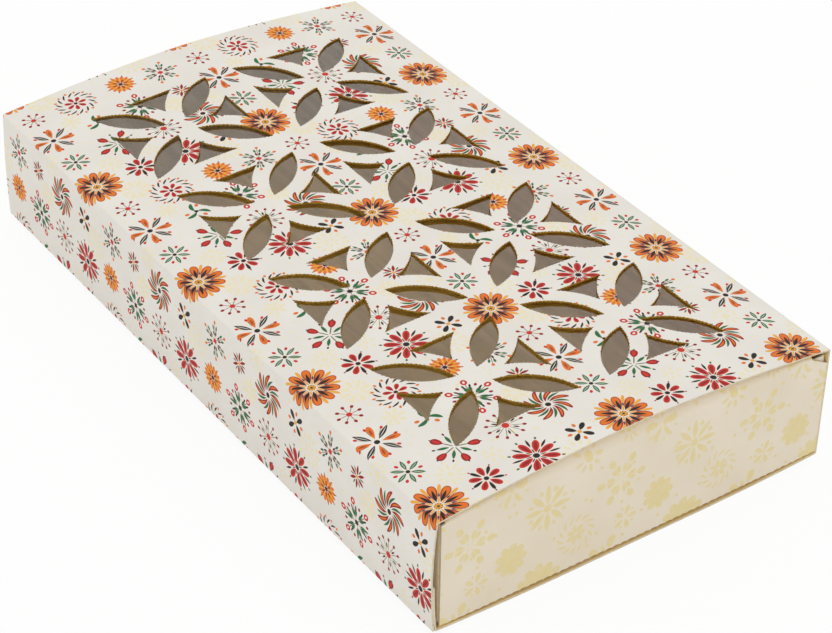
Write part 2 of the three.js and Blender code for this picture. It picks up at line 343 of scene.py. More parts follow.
FLOWERS: Tuple[Motif, ...] = (
    # Sunburst with dark spokes
    Motif((
        Petals(Ink.AMBER, 10, 3.6, 7.8, 0.55, 0.5, 1.0, 0.5),
        Petals(Ink.RUST, 10, 1.8, 7.4, 1.32, 0.0, 0.8, 0.42),
        Petals(Ink.ORANGE, 10, 2.8, 7.1, 1.0, 0.0, 1.0, 0.4),
        Petals(Ink.BLACK, 10, 1.4, 6.0, 0.5, 0.0, 0.8, 0.9),
        Petals(Ink.BLACK, 10, 3.2, 4.8, 0.3, 0.5, 0.4, 0.7),
        Petals(Ink.AMBER, 10, 1.2, 3.6, 0.34, 0.5, 0.6, 0.8),
        Spot(Ink.BLACK, 1.1),
        Petals(Ink.AMBER, 8, 0.2, 1.4, 0.32),
    )),
    # Berries on stems with paired leaves
    Motif((
        Petals(Ink.BLACK, 6, 0.4, 6.0, 0.18, 0.0, 0.2, 0.2),
        Petals(Ink.GREEN, 6, 1.6, 4.6, 0.58, 0.18),
        Petals(Ink.GREEN, 6, 1.6, 4.6, 0.58, -0.18),
        Petals(Ink.BLACK, 6, 3.6, 5.4, 0.38, 0.2),
        Petals(Ink.BLACK, 6, 3.6, 5.4, 0.38, -0.2),
        Petals(Ink.RED, 6, 5.1, 7.3, 1.0, 0.0, 0.5, 0.5),
        Petals(Ink.WHITE, 6, 5.7, 6.7, 0.38, 0.0, 0.5, 0.5),
        Petals(Ink.DEEP_RED, 6, 4.4, 5.6, 0.5, 0.5, 0.5, 0.5),
        Spot(Ink.BLACK, 0.8),
    ), 0.3),
    # Layered star with dark veins
    Motif((
        Petals(Ink.BLACK, 8, 3.2, 6.8, 0.42, 0.5),
        Petals(Ink.RED, 8, 1.2, 6.0, 1.05, 0.0, 0.8, 0.5),
        Petals(Ink.DEEP_RED, 8, 1.8, 5.4, 0.52, 0.0, 0.8, 0.6),
        Petals(Ink.BLACK, 8, 0.8, 3.0, 0.26, 0.5),
        Petals(Ink.GREEN, 8, 6.2, 7.2, 0.38, 0.0, 0.5, 0.5),
        Spot(Ink.BLACK, 0.9),
    ), 0.2),
    # Cross of long leaves and drops
    Motif((
        Petals(Ink.BLACK, 4, 1.2, 7.0, 0.72),
        Petals(Ink.WHITE, 4, 2.2, 6.0, 0.16, 0.0, 0.3, 0.3),
        Petals(Ink.ORANGE, 4, 1.2, 6.4, 0.95, 0.5, 1.0, 0.5),
        Petals(Ink.RUST, 4, 2.6, 5.4, 0.36, 0.5),
        Petals(Ink.GREEN, 8, 2.4, 5.2, 0.17, 0.25, 0.2, 0.2),
        Petals(Ink.RED, 8, 5.0, 6.2, 0.48, 0.25, 0.5, 0.5),
        Spot(Ink.BLACK, 0.8),
    ), 0.6),
    # Bellflowers
    Motif((
        Petals(Ink.GREEN, 5, 0.4, 4.4, 0.24, 0.0, 0.2, 0.3),
        Petals(Ink.DEEP_RED, 5, 3.2, 6.5, 1.15, 0.0, 0.6, 0.35),
        Petals(Ink.RED, 5, 3.7, 6.2, 0.6, 0.0, 0.6, 0.4),
        Petals(Ink.BLACK, 5, 6.1, 7.0, 0.32, 0.0, 0.5, 0.5),
        Petals(Ink.GREEN, 5, 1.2, 4.9, 0.55, 0.5),
        Petals(Ink.BLACK, 5, 4.9, 5.9, 0.36, 0.5, 0.5, 0.5),
    ), 0.9),
    # Wreath of small leaves with a blossom
    Motif((
        Petals(Ink.BLACK, 14, 3.7, 6.1, 0.46, 0.0, 1.0, 0.8, 0.16),
        Petals(Ink.ORANGE, 14, 5.5, 6.6, 0.42, 0.62, 0.5, 0.5),
        Petals(Ink.RED, 7, 0.6, 3.4, 0.72, 0.0, 1.0, 0.5),
        Petals(Ink.DEEP_RED, 7, 1.0, 3.1, 0.4),
        Spot(Ink.BLACK, 0.6),
    )),
    # Pinwheel of swept petals
    Motif((
        Petals(Ink.GREEN, 8, 1.2, 5.8, 0.5, 0.5, 1.0, 0.8, 0.13),
        Petals(Ink.DEEP_RED, 8, 1.0, 6.4, 0.82, 0.0, 1.0, 0.5, 0.13),
        Petals(Ink.ORANGE, 8, 2.6, 5.8, 0.36, 0.0, 0.8, 0.6, 0.13),
        Spot(Ink.BLACK, 0.8),
    )),
    # Fern wheel
    Motif((
        Petals(Ink.BLACK, 6, 0.5, 5.6, 0.17, 0.0, 0.2, 0.2),
        Petals(Ink.BLACK, 6, 1.4, 3.3, 0.38, 0.2),
        Petals(Ink.BLACK, 6, 1.4, 3.3, 0.38, -0.2),
        Petals(Ink.GREEN, 6, 3.0, 5.0, 0.43, 0.18),
        Petals(Ink.GREEN, 6, 3.0, 5.0, 0.43, -0.18),
        Petals(Ink.ORANGE, 6, 5.0, 6.2, 0.54, 0.0, 0.5, 0.5),
        Spot(Ink.RED, 0.8),
    ), 0.1),
    # Seed clock
    Motif((
        Petals(Ink.GREEN, 12, 1.0, 4.6, 0.17, 0.0, 0.2, 0.2),
        Petals(Ink.DEEP_RED, 12, 4.2, 5.4, 0.5, 0.0, 0.5, 0.5),
        Petals(Ink.BLACK, 6, 1.8, 3.8, 0.36, 0.25),
        Spot(Ink.RED, 1.0),
    )),
    # Small daisy in red and black
    Motif((
        Petals(Ink.BLACK, 5, 1.2, 4.5, 0.55, 0.5, 0.8, 0.45),
        Petals(Ink.RED, 5, 0.9, 4.4, 0.95, 0.0, 0.8, 0.45),
        Petals(Ink.DEEP_RED, 5, 1.2, 3.9, 0.45, 0.0, 0.8, 0.6),
        Petals(Ink.DEEP_RED, 5, 4.5, 5.2, 0.3, 0.5, 0.5, 0.5),
        Spot(Ink.BLACK, 0.7),
    ), 0.2),
    # Small thick marigold
    Motif((
        Petals(Ink.BLACK, 8, 3.2, 5.0, 0.32, 0.25, 0.5, 0.7),
        Petals(Ink.ORANGE, 16, 0.8, 4.3, 0.62, 0.5, 0.8, 0.4),
        Petals(Ink.AMBER, 16, 0.8, 3.8, 0.38, 0.0, 0.8, 0.6),
        Petals(Ink.RUST, 8, 0.4, 3.0, 0.4),
        Spot(Ink.BLACK, 0.7),
    )),
    # Leafy star
    Motif((
        Petals(Ink.GREEN, 6, 0.6, 4.6, 0.62),
        Petals(Ink.WHITE, 6, 1.4, 3.7, 0.14, 0.0, 0.3, 0.3),
        Petals(Ink.RED, 6, 2.8, 4.1, 0.5, 0.5, 0.5, 0.5),
        Spot(Ink.BLACK, 0.6),
    ), 0.4),
    # Sprig of three leaves
    Motif((
        Petals(Ink.GREEN, 3, 0.2, 4.2, 0.72, 0.0, 1.0, 0.7, 0.15),
        Petals(Ink.ORANGE, 3, 2.2, 3.7, 0.6, 0.5, 0.5, 0.5),
        Spot(Ink.BLACK, 0.6),
    )),
    # Ring of berries
    Motif((
        Petals(Ink.BLACK, 8, 0.6, 2.8, 0.17, 0.0, 0.2, 0.2),
        Petals(Ink.DEEP_RED, 8, 2.5, 3.7, 0.54, 0.0, 0.5, 0.5),
        Spot(Ink.RED, 0.8),
    )),
    # Four-leaf with dots
    Motif((
        Petals(Ink.BLACK, 4, 0.6, 3.8, 0.8, 0.0, 0.8, 0.5),
        Petals(Ink.ORANGE, 4, 2.1, 3.5, 0.55, 0.5, 0.5, 0.5),
        Spot(Ink.AMBER, 0.6),
    ), 0.7),
    # Tiny six-point star
    Motif((
        Petals(Ink.GREEN, 6, 1.0, 3.2, 0.3, 0.5),
        Petals(Ink.DEEP_RED, 6, 0.3, 3.6, 0.52),
        Spot(Ink.AMBER, 0.5),
    )),
)

def silhouette(*rows: Tuple[float, ...]) -> Motif:
    """Makes a motif of which only the cover is used, so that all its layers have one ink.

    Args:
        rows: a spot's radius, or petals' sizes in the order of their fields.

    Returns:
        The motif.
    """
    ink = Ink.AMBER
    return Motif(tuple(Spot(ink, *row) if len(row) == 1 else Petals(ink, *row) for row in rows))


PALE_ROSETTES: Tuple[Motif, ...] = (
    silhouette((12, 2.8, 5.2, 0.6, 0.0, 0.6, 0.5), (6, 0.5, 2.6, 0.55)),
    silhouette((8, 0.6, 4.8, 0.7, 0.0, 1.0, 0.6), (8, 3.2, 4.6, 0.5, 0.5)),
    silhouette((10, 1.2, 4.4, 0.5), (0.9,)),
    silhouette((6, 0.4, 4.0, 0.8), (6, 2.4, 4.0, 0.45, 0.5)),
    silhouette((9, 2.0, 3.8, 0.55, 0.0, 0.5, 0.5), (1.2,)),
    silhouette((7, 0.4, 3.4, 0.6, 0.0, 1.0, 0.6), (0.8,)),
    silhouette((6, 1.2, 3.0, 0.5, 0.0, 0.5, 0.5), (0.7,)),
)

TONE_ROSETTES: Tuple[Motif, ...] = (
    silhouette((12, 0.0, 7.6, 1.7, 0.0, 0.6, 0.4), (5.6,)),
    silhouette(
        (6, 0.4, 5.6, 0.3, 0.0, 0.2, 0.2), (6, 1.8, 5.0, 0.8, 0.2),
        (6, 1.8, 5.0, 0.8, -0.2), (6, 5.0, 7.8, 1.2, 0.0, 0.5, 0.5),
    ),
    silhouette((8, 1.0, 7.4, 1.0), (8, 4.6, 6.6, 0.7, 0.5), (1.2,)),
    silhouette(
        (5, 2.8, 6.8, 1.4, 0.0, 0.6, 0.35), (5, 0.6, 4.8, 0.8, 0.5),
        (5, 0.4, 3.2, 0.3, 0.0, 0.2, 0.2),
    ),
    silhouette((14, 3.6, 6.2, 0.6, 0.0, 1.0, 0.8, 0.16), (7, 0.3, 3.4, 0.8)),
    silhouette((9, 0.0, 5.0, 1.4, 0.0, 0.6, 0.4), (3.4,)),
    silhouette((6, 0.6, 5.4, 0.8), (12, 4.0, 5.4, 0.5, 0.25, 0.5, 0.5)),
    silhouette((9, 2.0, 4.6, 0.65, 0.0, 0.5, 0.5), (1.3,)),
    silhouette((2.8,), (10, 2.0, 3.8, 0.7, 0.0, 0.5, 0.5)),
    silhouette((5, 0.4, 3.8, 0.9, 0.0, 1.0, 0.6), (5, 2.4, 3.6, 0.5, 0.5)),
    silhouette((8, 0.8, 3.2, 0.45), (0.7,)),
)


@dataclass(frozen=True)
class FlowerPrint:
    """A repeating print whose rosettes are spread evenly over a square tile."""

    name: str
    motifs: Tuple[Motif, ...]
    tile: float
    seed: int
    around: Optional["FlowerPrint"] = None  # print whose gaps this one fills
    edge: float = 0.14  # softness of the ink's edge
    tries: int = 600

    def centres(self) -> List[Point]:
        """Places the motifs, largest first, each where it has the most room.

        Returns:
            A centre on the tile for each motif.
        """
        draw = random.Random(self.seed)
        placed = []
        if self.around:
            placed = [(c, m.reach()) for c, m in zip(self.around.centres(), self.around.motifs)]
        centres = []
        for motif in self.motifs:
            best, best_room = (0.0, 0.0), -math.inf
            for _ in range(self.tries):
                spot = (draw.uniform(0, self.tile), draw.uniform(0, self.tile))
                room = min((self._apart(spot, c) - r for c, r in placed), default=0.0)
                if room > best_room:
                    best, best_room = spot, room
            placed.append((best, motif.reach()))
            centres.append(best)
        return centres

    def _apart(self, one: Point, other: Point) -> float:
        """Gives the distance between two points on the repeating tile."""
        gaps = [abs((a - b + self.tile / 2) % self.tile - self.tile / 2) for a, b in zip(one, other)]
        return math.hypot(*gaps)

    def tree(self) -> bpy.types.NodeTree:
        """Draws the print as a node group.

        Returns:
            A group that turns a place on the blank into ink colour and ink cover.
        """
        found = bpy.data.node_groups.get(self.name)
        if found:
            return found
        outputs = (("Colour", "Color"), ("Cover", "Float"))
        tree, bench, start, end = group_tree(self.name, (("Place", "Vector"),), outputs)
        colour: object = Ink.ORANGE.colour()
        cover: Value = 0.0
        half = self.tile / 2
        for motif, (u, v) in zip(self.motifs, self.centres()):
            moved = bench.vector("SUBTRACT", start.outputs["Place"], (u, v, 0))
            local = bench.vector("WRAP", moved.outputs[0], (half, half, 1), (-half, -half, -1)).outputs[0]
            split = bench.add("SeparateXYZ")
            bench.feed(split.inputs[0], local)
            flat = bench.add("CombineXYZ")
            bench.feed(flat.inputs[0], split.outputs[0])
            bench.feed(flat.inputs[1], split.outputs[1])
            radius = bench.vector("LENGTH", flat.outputs[0]).outputs["Value"]
            angle = bench.math("ARCTAN2", split.outputs[1], split.outputs[0])
            for layer in motif.layers:
                mask = self._layer(bench, layer, motif.lean, radius, angle)
                colour = bench.mix(mask, colour, layer.ink.colour())
                cover = bench.math("MAXIMUM", cover, mask)
        bench.feed(end.inputs["Colour"], colour)
        bench.feed(end.inputs["Cover"], cover)
        return tree

    def _layer(self, bench: NodeBench, layer: Union[Petals, Spot], lean: float, radius: Socket,
               angle: Socket) -> Socket:
        """Draws one layer of a motif.

        Args:
            bench: where its nodes go.
            layer: the petals or spot.
            lean: the motif's turn.
            radius: distance from the motif's centre.
            angle: direction from the centre.

        Returns:
            The layer's cover, from 0 to 1.
        """
        if isinstance(layer, Spot):
            return bench.ramp(radius, layer.end + self.edge / 2, layer.end - self.edge / 2)
        sector = 2 * math.pi / layer.count
        if layer.twist:
            angle = bench.math("MULTIPLY_ADD", radius, layer.twist, angle)
        widest = layer.foot / (layer.foot + layer.tip)
        fullness = widest**layer.foot * (1 - widest) ** layer.tip
        wheel = bench.group(
            petal_wheel(), Radius=radius, Angle=angle, Turn=lean + layer.turn * sector, Sector=sector,
            Start=layer.start, End=layer.end, Width=layer.width / fullness, Foot=layer.foot, Tip=layer.tip,
            Edge=self.edge,
        )
        return wheel.outputs[0]


def petal_wheel() -> bpy.types.NodeTree:
    """Makes the node group of one wheel of petals, once.

    Returns:
        A group that gives the petals' cover at a radius and an angle.
    """
    name = "petal_wheel"
    found = bpy.data.node_groups.get(name)
    if found:
        return found
    labels = ("Radius", "Angle", "Turn", "Sector", "Start", "End", "Width", "Foot", "Tip", "Edge")
    tree, bench, given, end = group_tree(name, [(n, "Float") for n in labels], [("Cover", "Float")])
    get = given.outputs
    half = bench.math("MULTIPLY", get["Sector"], 0.5)
    turned = bench.math("SUBTRACT", get["Angle"], get["Turn"])
    folded = bench.math("WRAP", turned, half, bench.math("MULTIPLY", half, -1.0))
    along = bench.math("MULTIPLY", get["Radius"], bench.math("COSINE", folded))
    aside = bench.math("ABSOLUTE", bench.math("MULTIPLY", get["Radius"], bench.math("SINE", folded)))
    share = bench.ramp(along, get["Start"], get["End"])
    swell = bench.math("POWER", share, get["Foot"])
    taper = bench.math("POWER", bench.math("SUBTRACT", 1.0, share), get["Tip"])
    width = bench.math("MULTIPLY", bench.math("MULTIPLY", swell, taper), get["Width"])
    inside = bench.math("SUBTRACT", width, aside)
    bench.feed(end.inputs[0], bench.ramp(inside, 0.0, get["Edge"]))
    return tree


FLOWER_TILE = 56.5
TONE_TILE = 47.0
FLOWER_PRINT = FlowerPrint("flower_print", FLOWERS, FLOWER_TILE, seed=37)
PALE_PRINT = FlowerPrint("pale_print", PALE_ROSETTES, FLOWER_TILE, seed=1, around=FLOWER_PRINT)
TONE_PRINT = FlowerPrint("tone_print", TONE_ROSETTES, TONE_TILE, seed=36, edge=0.3)


# Bounds between which most values of a noise lie, from strong to gentle contrast
STRONG: Point = (0.35, 0.65)
MIDDLING: Point = (0.3, 0.7)
GENTLE: Point = (0.25, 0.75)


@dataclass(frozen=True)
class Grain:
    """Unevenness of a finish, as noise."""

    scale: float  # waves for each millimetre of the blank, or for each metre of the piece
    detail: float = 2.0
    rough: float = 0.5

    def at(self, bench: NodeBench, place: Socket) -> Socket:
        """Gives the noise, from 0 to 1, at places on the blank or in the piece."""
        return bench.noise(place, self.scale, self.detail, self.rough)


@dataclass(frozen=True)
class Finish:
    """A surface finish that every piece of one stock shares."""

    name: str

    def material(self) -> bpy.types.Material:
        """Gives the finish as a material, made once.

        Returns:
            The material.
        """
        found = bpy.data.materials.get(self.name)
        if found:
            return found
        made = bpy.data.materials.new(self.name)
        bench = cleared(made)
        surface = bench.add("BsdfPrincipled")
        end = bench.add("OutputMaterial")
        self.paint(bench, surface)
        bench.feed(end.inputs["Surface"], self.shader(bench, surface))
        return made

    def shader(self, bench: NodeBench, surface: bpy.types.Node) -> Socket:
        """Gives the whole shader, which is the painted surface alone for most finishes."""
        return surface.outputs[0]

    def paint(self, bench: NodeBench, surface: bpy.types.Node) -> None:
        """Sets the surface's colour, gloss and relief; each finish has its own way."""
        raise NotImplementedError

    @staticmethod
    def relief(bench: NodeBench, surface: bpy.types.Node, height: Socket, depth: float) -> None:
        """Adds fine relief.

        Args:
            bench: where its nodes go.
            surface: shader that takes the relief.
            height: height from 0 to 1.
            depth: its depth in millimetres.
        """
        bump = bench.add("Bump")
        bump.inputs["Strength"].default_value = 1.0
        bump.inputs["Distance"].default_value = depth * MM
        bench.feed(bump.inputs["Height"], height)
        bench.feed(surface.inputs["Normal"], bump.outputs[0])


@dataclass(frozen=True)
class PaperStock(Finish):
    """Uncoated paper face of a board, with rosettes and pin dots in one pale ink."""

    paper: int
    shade: int  # the paper where it is clouded
    pale: int
    pale_cover: float
    rosettes: FlowerPrint
    dot_pitch: float
    dot_radius: float
    dot_blur: float  # softness of a dot's edge, as a share of its radius
    fibre: Grain
    cloud: Grain
    gloss: float = 0.12
    depth: float = 0.02  # of the fibres' relief

    def paint(self, bench: NodeBench, surface: bpy.types.Node) -> None:
        """Paints clouded paper, the pale ink and what the stock has over it, in that order.

        Args:
            bench: where its nodes go.
            surface: shader that takes the paint.
        """
        place = bench.blank_place()
        fibre = self.fibre.at(bench, place)
        cloud = bench.ramp(self.cloud.at(bench, place), *MIDDLING)
        colour = bench.mix(cloud, linear(self.paper), linear(self.shade))
        rosettes = bench.group(self.rosettes.tree(), Place=place).outputs["Cover"]
        cover = bench.math("MAXIMUM", rosettes, self._dots(bench, place))
        cover = self.worn(bench, place, bench.math("MULTIPLY", cover, self.pale_cover))
        colour = bench.mix(cover, colour, linear(self.pale))
        colour, rough = self.overprint(bench, place, fibre, colour)
        bench.feed(surface.inputs["Base Color"], colour)
        bench.feed(surface.inputs["Roughness"], rough)
        surface.inputs["Specular IOR Level"].default_value = self.gloss
        self.relief(bench, surface, fibre, self.depth)

    def _dots(self, bench: NodeBench, place: Socket) -> Socket:
        """Gives the cover of the strewn pin dots.

        Args:
            bench: where its nodes go.
            place: place on the blank.

        Returns:
            The cover, from 0 to 1.
        """
        cells = bench.add("TexVoronoi", voronoi_dimensions="2D")
        bench.feed(cells.inputs["Vector"], place)
        cells.inputs["Scale"].default_value = 1 / self.dot_pitch
        dot = self.dot_radius / self.dot_pitch
        return bench.ramp(cells.outputs["Distance"], dot * (1 + self.dot_blur), dot * (1 - self.dot_blur))

    def worn(self, bench: NodeBench, place: Socket, cover: Socket) -> Socket:
        """Gives the pale ink's cover after wear, which is all of it for most stocks."""
        return cover

    def overprint(self, bench: NodeBench, place: Socket, fibre: Socket, colour: Socket) -> Painted:
        """Prints over the pale ink; each stock has its own way.

        Args:
            bench: where its nodes go.
            place: place on the blank.
            fibre: the paper's fibres.
            colour: colour so far.

        Returns:
            The whole colour and the roughness.
        """
        raise NotImplementedError


@dataclass(frozen=True)
class PrintedBoard(PaperStock):
    """White board with the flower print."""

    flowers: FlowerPrint = FLOWER_PRINT
    ink_grain: Point = (0.95, 1.0)  # least and most of the ink that the fibres take
    ink_rough: Point = (0.65, 0.55)  # of bare paper and of full ink

    def overprint(self, bench: NodeBench, place: Socket, fibre: Socket, colour: Socket) -> Painted:
        """Prints the flowers, a little broken by the fibres.

        Args:
            bench: where its nodes go.
            place: place on the blank.
            fibre: the paper's fibres.
            colour: colour so far.

        Returns:
            The whole colour and the roughness.
        """
        flowers = bench.group(self.flowers.tree(), Place=place)
        grain = bench.ramp(fibre, *GENTLE, *self.ink_grain)
        ink = bench.math("MULTIPLY", flowers.outputs["Cover"], grain)
        rough = bench.ramp(ink, 0.0, 1.0, *self.ink_rough)
        return bench.mix(ink, colour, flowers.outputs["Colour"]), rough


@dataclass(frozen=True)
class CreamBoard(PaperStock):
    """Cream side of the board, with a tone-on-tone flower print."""

    patches: Grain = Grain(0.5, 3.0)
    patch_bounds: Point = (0.2, 0.7)
    patch_cover: Point = (0.6, 1.0)  # least and most of the ink that stays
    paper_rough: Point = (0.6, 0.7)

    def worn(self, bench: NodeBench, place: Socket, cover: Socket) -> Socket:
        """Makes the ink patchy."""
        patchy = bench.ramp(self.patches.at(bench, place), *self.patch_bounds, *self.patch_cover)
        return bench.math("MULTIPLY", cover, patchy)

    def overprint(self, bench: NodeBench, place: Socket, fibre: Socket, colour: Socket) -> Painted:
        """Prints nothing more, and roughens the paper by its fibres."""
        return colour, bench.ramp(fibre, *MIDDLING, *self.paper_rough)


@dataclass(frozen=True)
class BareBoard(Finish):
    """Bare side of a board, with short fibres along the box over clouded pulp."""

    light: int
    dark: int
    fine: Grain = Grain(2600.0, 3.0, 0.7)
    coarse: Grain = Grain(90.0, 4.0, 0.6)
    fine_share: float = 0.6
    stretch: Tuple[float, float, float] = (1.0, 0.25, 1.0)  # of the fine grain's waves
    rough: Point = (0.65, 0.8)
    gloss: float = 0.25
    depth: float = 0.03  # of the fine grain's relief

    def paint(self, bench: NodeBench, surface: bpy.types.Node) -> None:
        """Paints the fine grain over the coarse one.

        Args:
            bench: where its nodes go.
            surface: shader that takes the paint.
        """
        place = bench.object_place()
        fine = self.fine.at(bench, bench.vector("MULTIPLY", place, self.stretch).outputs[0])
        coarse = bench.math("MULTIPLY", self.coarse.at(bench, place), 1 - self.fine_share)
        tone = bench.ramp(bench.math("MULTIPLY_ADD", fine, self.fine_share, coarse), *STRONG)
        bench.feed(surface.inputs["Base Color"], bench.mix(tone, linear(self.dark), linear(self.light)))
        bench.feed(surface.inputs["Roughness"], bench.ramp(fine, *MIDDLING, *self.rough))
        surface.inputs["Specular IOR Level"].default_value = self.gloss
        if self.depth:
            self.relief(bench, surface, fine, self.depth)


@dataclass(frozen=True)
class CutEdge(BareBoard):
    """Cut edge of a board, with its layers as fine streaks and darker nicks over them."""

    fine: Grain = Grain(3000.0)
    coarse: Grain = Grain(700.0)
    fine_share: float = 0.5
    stretch: Tuple[float, float, float] = (1.0, 1.0, 1.0)
    rough: Point = (0.75, 0.9)
    gloss: float = 0.15
    depth: float = 0.0


@dataclass(frozen=True)
class ClearFilm(Finish):
    """Clear glossy window film with faint draw lines."""

    lines: Grain = Grain(260.0)
    stretch: Tuple[float, float, float] = (1.0, 0.08, 1.0)  # the lines run along the box
    line_tint: Colour = (0.84, 0.83, 0.8, 1)
    clear_tint: Colour = (1, 0.995, 0.98, 1)
    tint_bounds: Point = (0.35, 0.6)
    haze_bounds: Point = (0.35, 0.75)
    haze: float = 0.05  # roughness between the lines
    refraction: float = 1.58
    gleam: Colour = (1, 0.92, 0.8, 1)

    def paint(self, bench: NodeBench, surface: bpy.types.Node) -> None:
        """Makes the film clear, with draw lines in its tint and gloss.

        Args:
            bench: where its nodes go.
            surface: shader that takes the paint.
        """
        drawn = bench.vector("MULTIPLY", bench.object_place(), self.stretch).outputs[0]
        lines = self.lines.at(bench, drawn)
        tint = bench.mix(bench.ramp(lines, *self.tint_bounds), self.line_tint, self.clear_tint)
        bench.feed(surface.inputs["Base Color"], tint)
        surface.inputs["Transmission Weight"].default_value = 1.0
        surface.inputs["IOR"].default_value = self.refraction
        surface.inputs["Specular Tint"].default_value = self.gleam
        bench.feed(surface.inputs["Roughness"], bench.ramp(lines, *self.haze_bounds, 0.0, self.haze))

    def shader(self, bench: NodeBench, surface: bpy.types.Node) -> Socket:
        """Lets light through to the tray, without the film's shadow."""
        shadow = bench.add("LightPath").outputs["Is Shadow Ray"]
        return bench.blend(shadow, surface, bench.add("BsdfTransparent"))


@dataclass(frozen=True)
class DryGlue(Finish):
    """Dried glue, yellowish and half glossy, uneven from the roller."""

    light: int = 0xD9D0B4
    dark: int = 0xC7BB98
    marks: Grain = Grain(420.0, 4.0, 0.6)
    rough: Point = (0.35, 0.6)
    depth: float = 0.03

    def paint(self, bench: NodeBench, surface: bpy.types.Node) -> None:
        """Paints roller marks in the glue.

        Args:
            bench: where its nodes go.
            surface: shader that takes the paint.
        """
        marks = self.marks.at(bench, bench.object_place())
        tone = bench.ramp(marks, *MIDDLING)
        bench.feed(surface.inputs["Base Color"], bench.mix(tone, linear(self.light), linear(self.dark)))
        bench.feed(surface.inputs["Roughness"], bench.ramp(marks, *MIDDLING, *self.rough))
        self.relief(bench, surface, marks, self.depth)


PRINTED = PrintedBoard(
    "printed_board_white", paper=0xE9E6DF, shade=0xE4E0D8, pale=0xECDFB2, pale_cover=0.7,
    rosettes=PALE_PRINT, dot_pitch=4.6, dot_radius=0.42, dot_blur=0.15, fibre=Grain(1.9, 4.0, 0.7),
    cloud=Grain(0.06),
)
CREAM = CreamBoard(
    "cream_board_tone", paper=0xE8DECB, shade=0xE3D7C1, pale=0xE2D08E, pale_cover=0.8,
    rosettes=TONE_PRINT, dot_pitch=8.0, dot_radius=0.5, dot_blur=0.3, fibre=Grain(1.6, 4.0, 0.7),
    cloud=Grain(0.05, 3.0),
)
GOLDEN = BareBoard("golden_board_inside", light=0xFBCC58, dark=0xF4C04C)
BARE = BareBoard("sleeve_board_inside", light=0xF0D49C, dark=0xE8C88A)
PALE_EDGE = CutEdge("cut_edge_pale", light=0xE0D7C2, dark=0xCBC0A4)
# Edges of the windows: dark golden-brown, partly the scorch of the laser cut and partly painted shade of the
# narrow gap between the board and the film below it
SCORCHED_AND_SHADED_EDGE = CutEdge("cut_edge_scorched_and_shaded", light=0xD2A23C, dark=0x96701E)
FILM = ClearFilm("film_clear")
GLUE = DryGlue("glue_dry")


def lines_between(low: float, high: float, step: float) -> np.ndarray:
    """Spreads grid lines evenly.

    Args:
        low: first line.
        high: last line.
        step: greatest distance between two lines.

    Returns:
        The lines' places.
    """
    return np.linspace(low, high, max(2, math.ceil((high - low) / step) + 1))


def fine_loop(corners: Sequence[Point], step: float) -> np.ndarray:
    """Splits the sides of a closed outline into short steps.

    Args:
        corners: the outline's corners.
        step: greatest length of a step.

    Returns:
        The points along the outline.
    """
    points = []
    for (ax, ay), (bx, by) in zip(corners, list(corners[1:]) + [corners[0]]):
        count = max(1, math.ceil(math.hypot(bx - ax, by - ay) / step))
        points += [(ax + (bx - ax) * i / count, ay + (by - ay) * i / count) for i in range(count)]
    return np.array(points)


def rectangle(u: float, v: float, half_u: float, half_v: float, step: float) -> np.ndarray:
    """Gives the outline of a rectangle round a middle (u, v), in short steps."""
    return fine_loop([(u - half_u, v - half_v), (u + half_u, v - half_v), (u + half_u, v + half_v),
                      (u - half_u, v + half_v)], step)


def distinct(lines: Sequence[float]) -> np.ndarray:
    """Sorts grid lines and leaves out the ones that come twice."""
    return np.unique(np.round(lines, PLACE_DIGITS))


def anticlockwise(loop: np.ndarray) -> np.ndarray:
    """Turns a closed outline so that it runs anticlockwise.

    Args:
        loop: the outline's points.

    Returns:
        The points in that order.
    """
    u, v = loop.T
    area = np.sum(u * np.roll(v, -1) - v * np.roll(u, -1))
    return loop if area > 0 else loop[::-1]


class Side(IntEnum):
    """Sides of a sheet, in the order of their finishes."""

    OUTER = 0
    INNER = 1
    EDGE = 2
    HOLE = 3


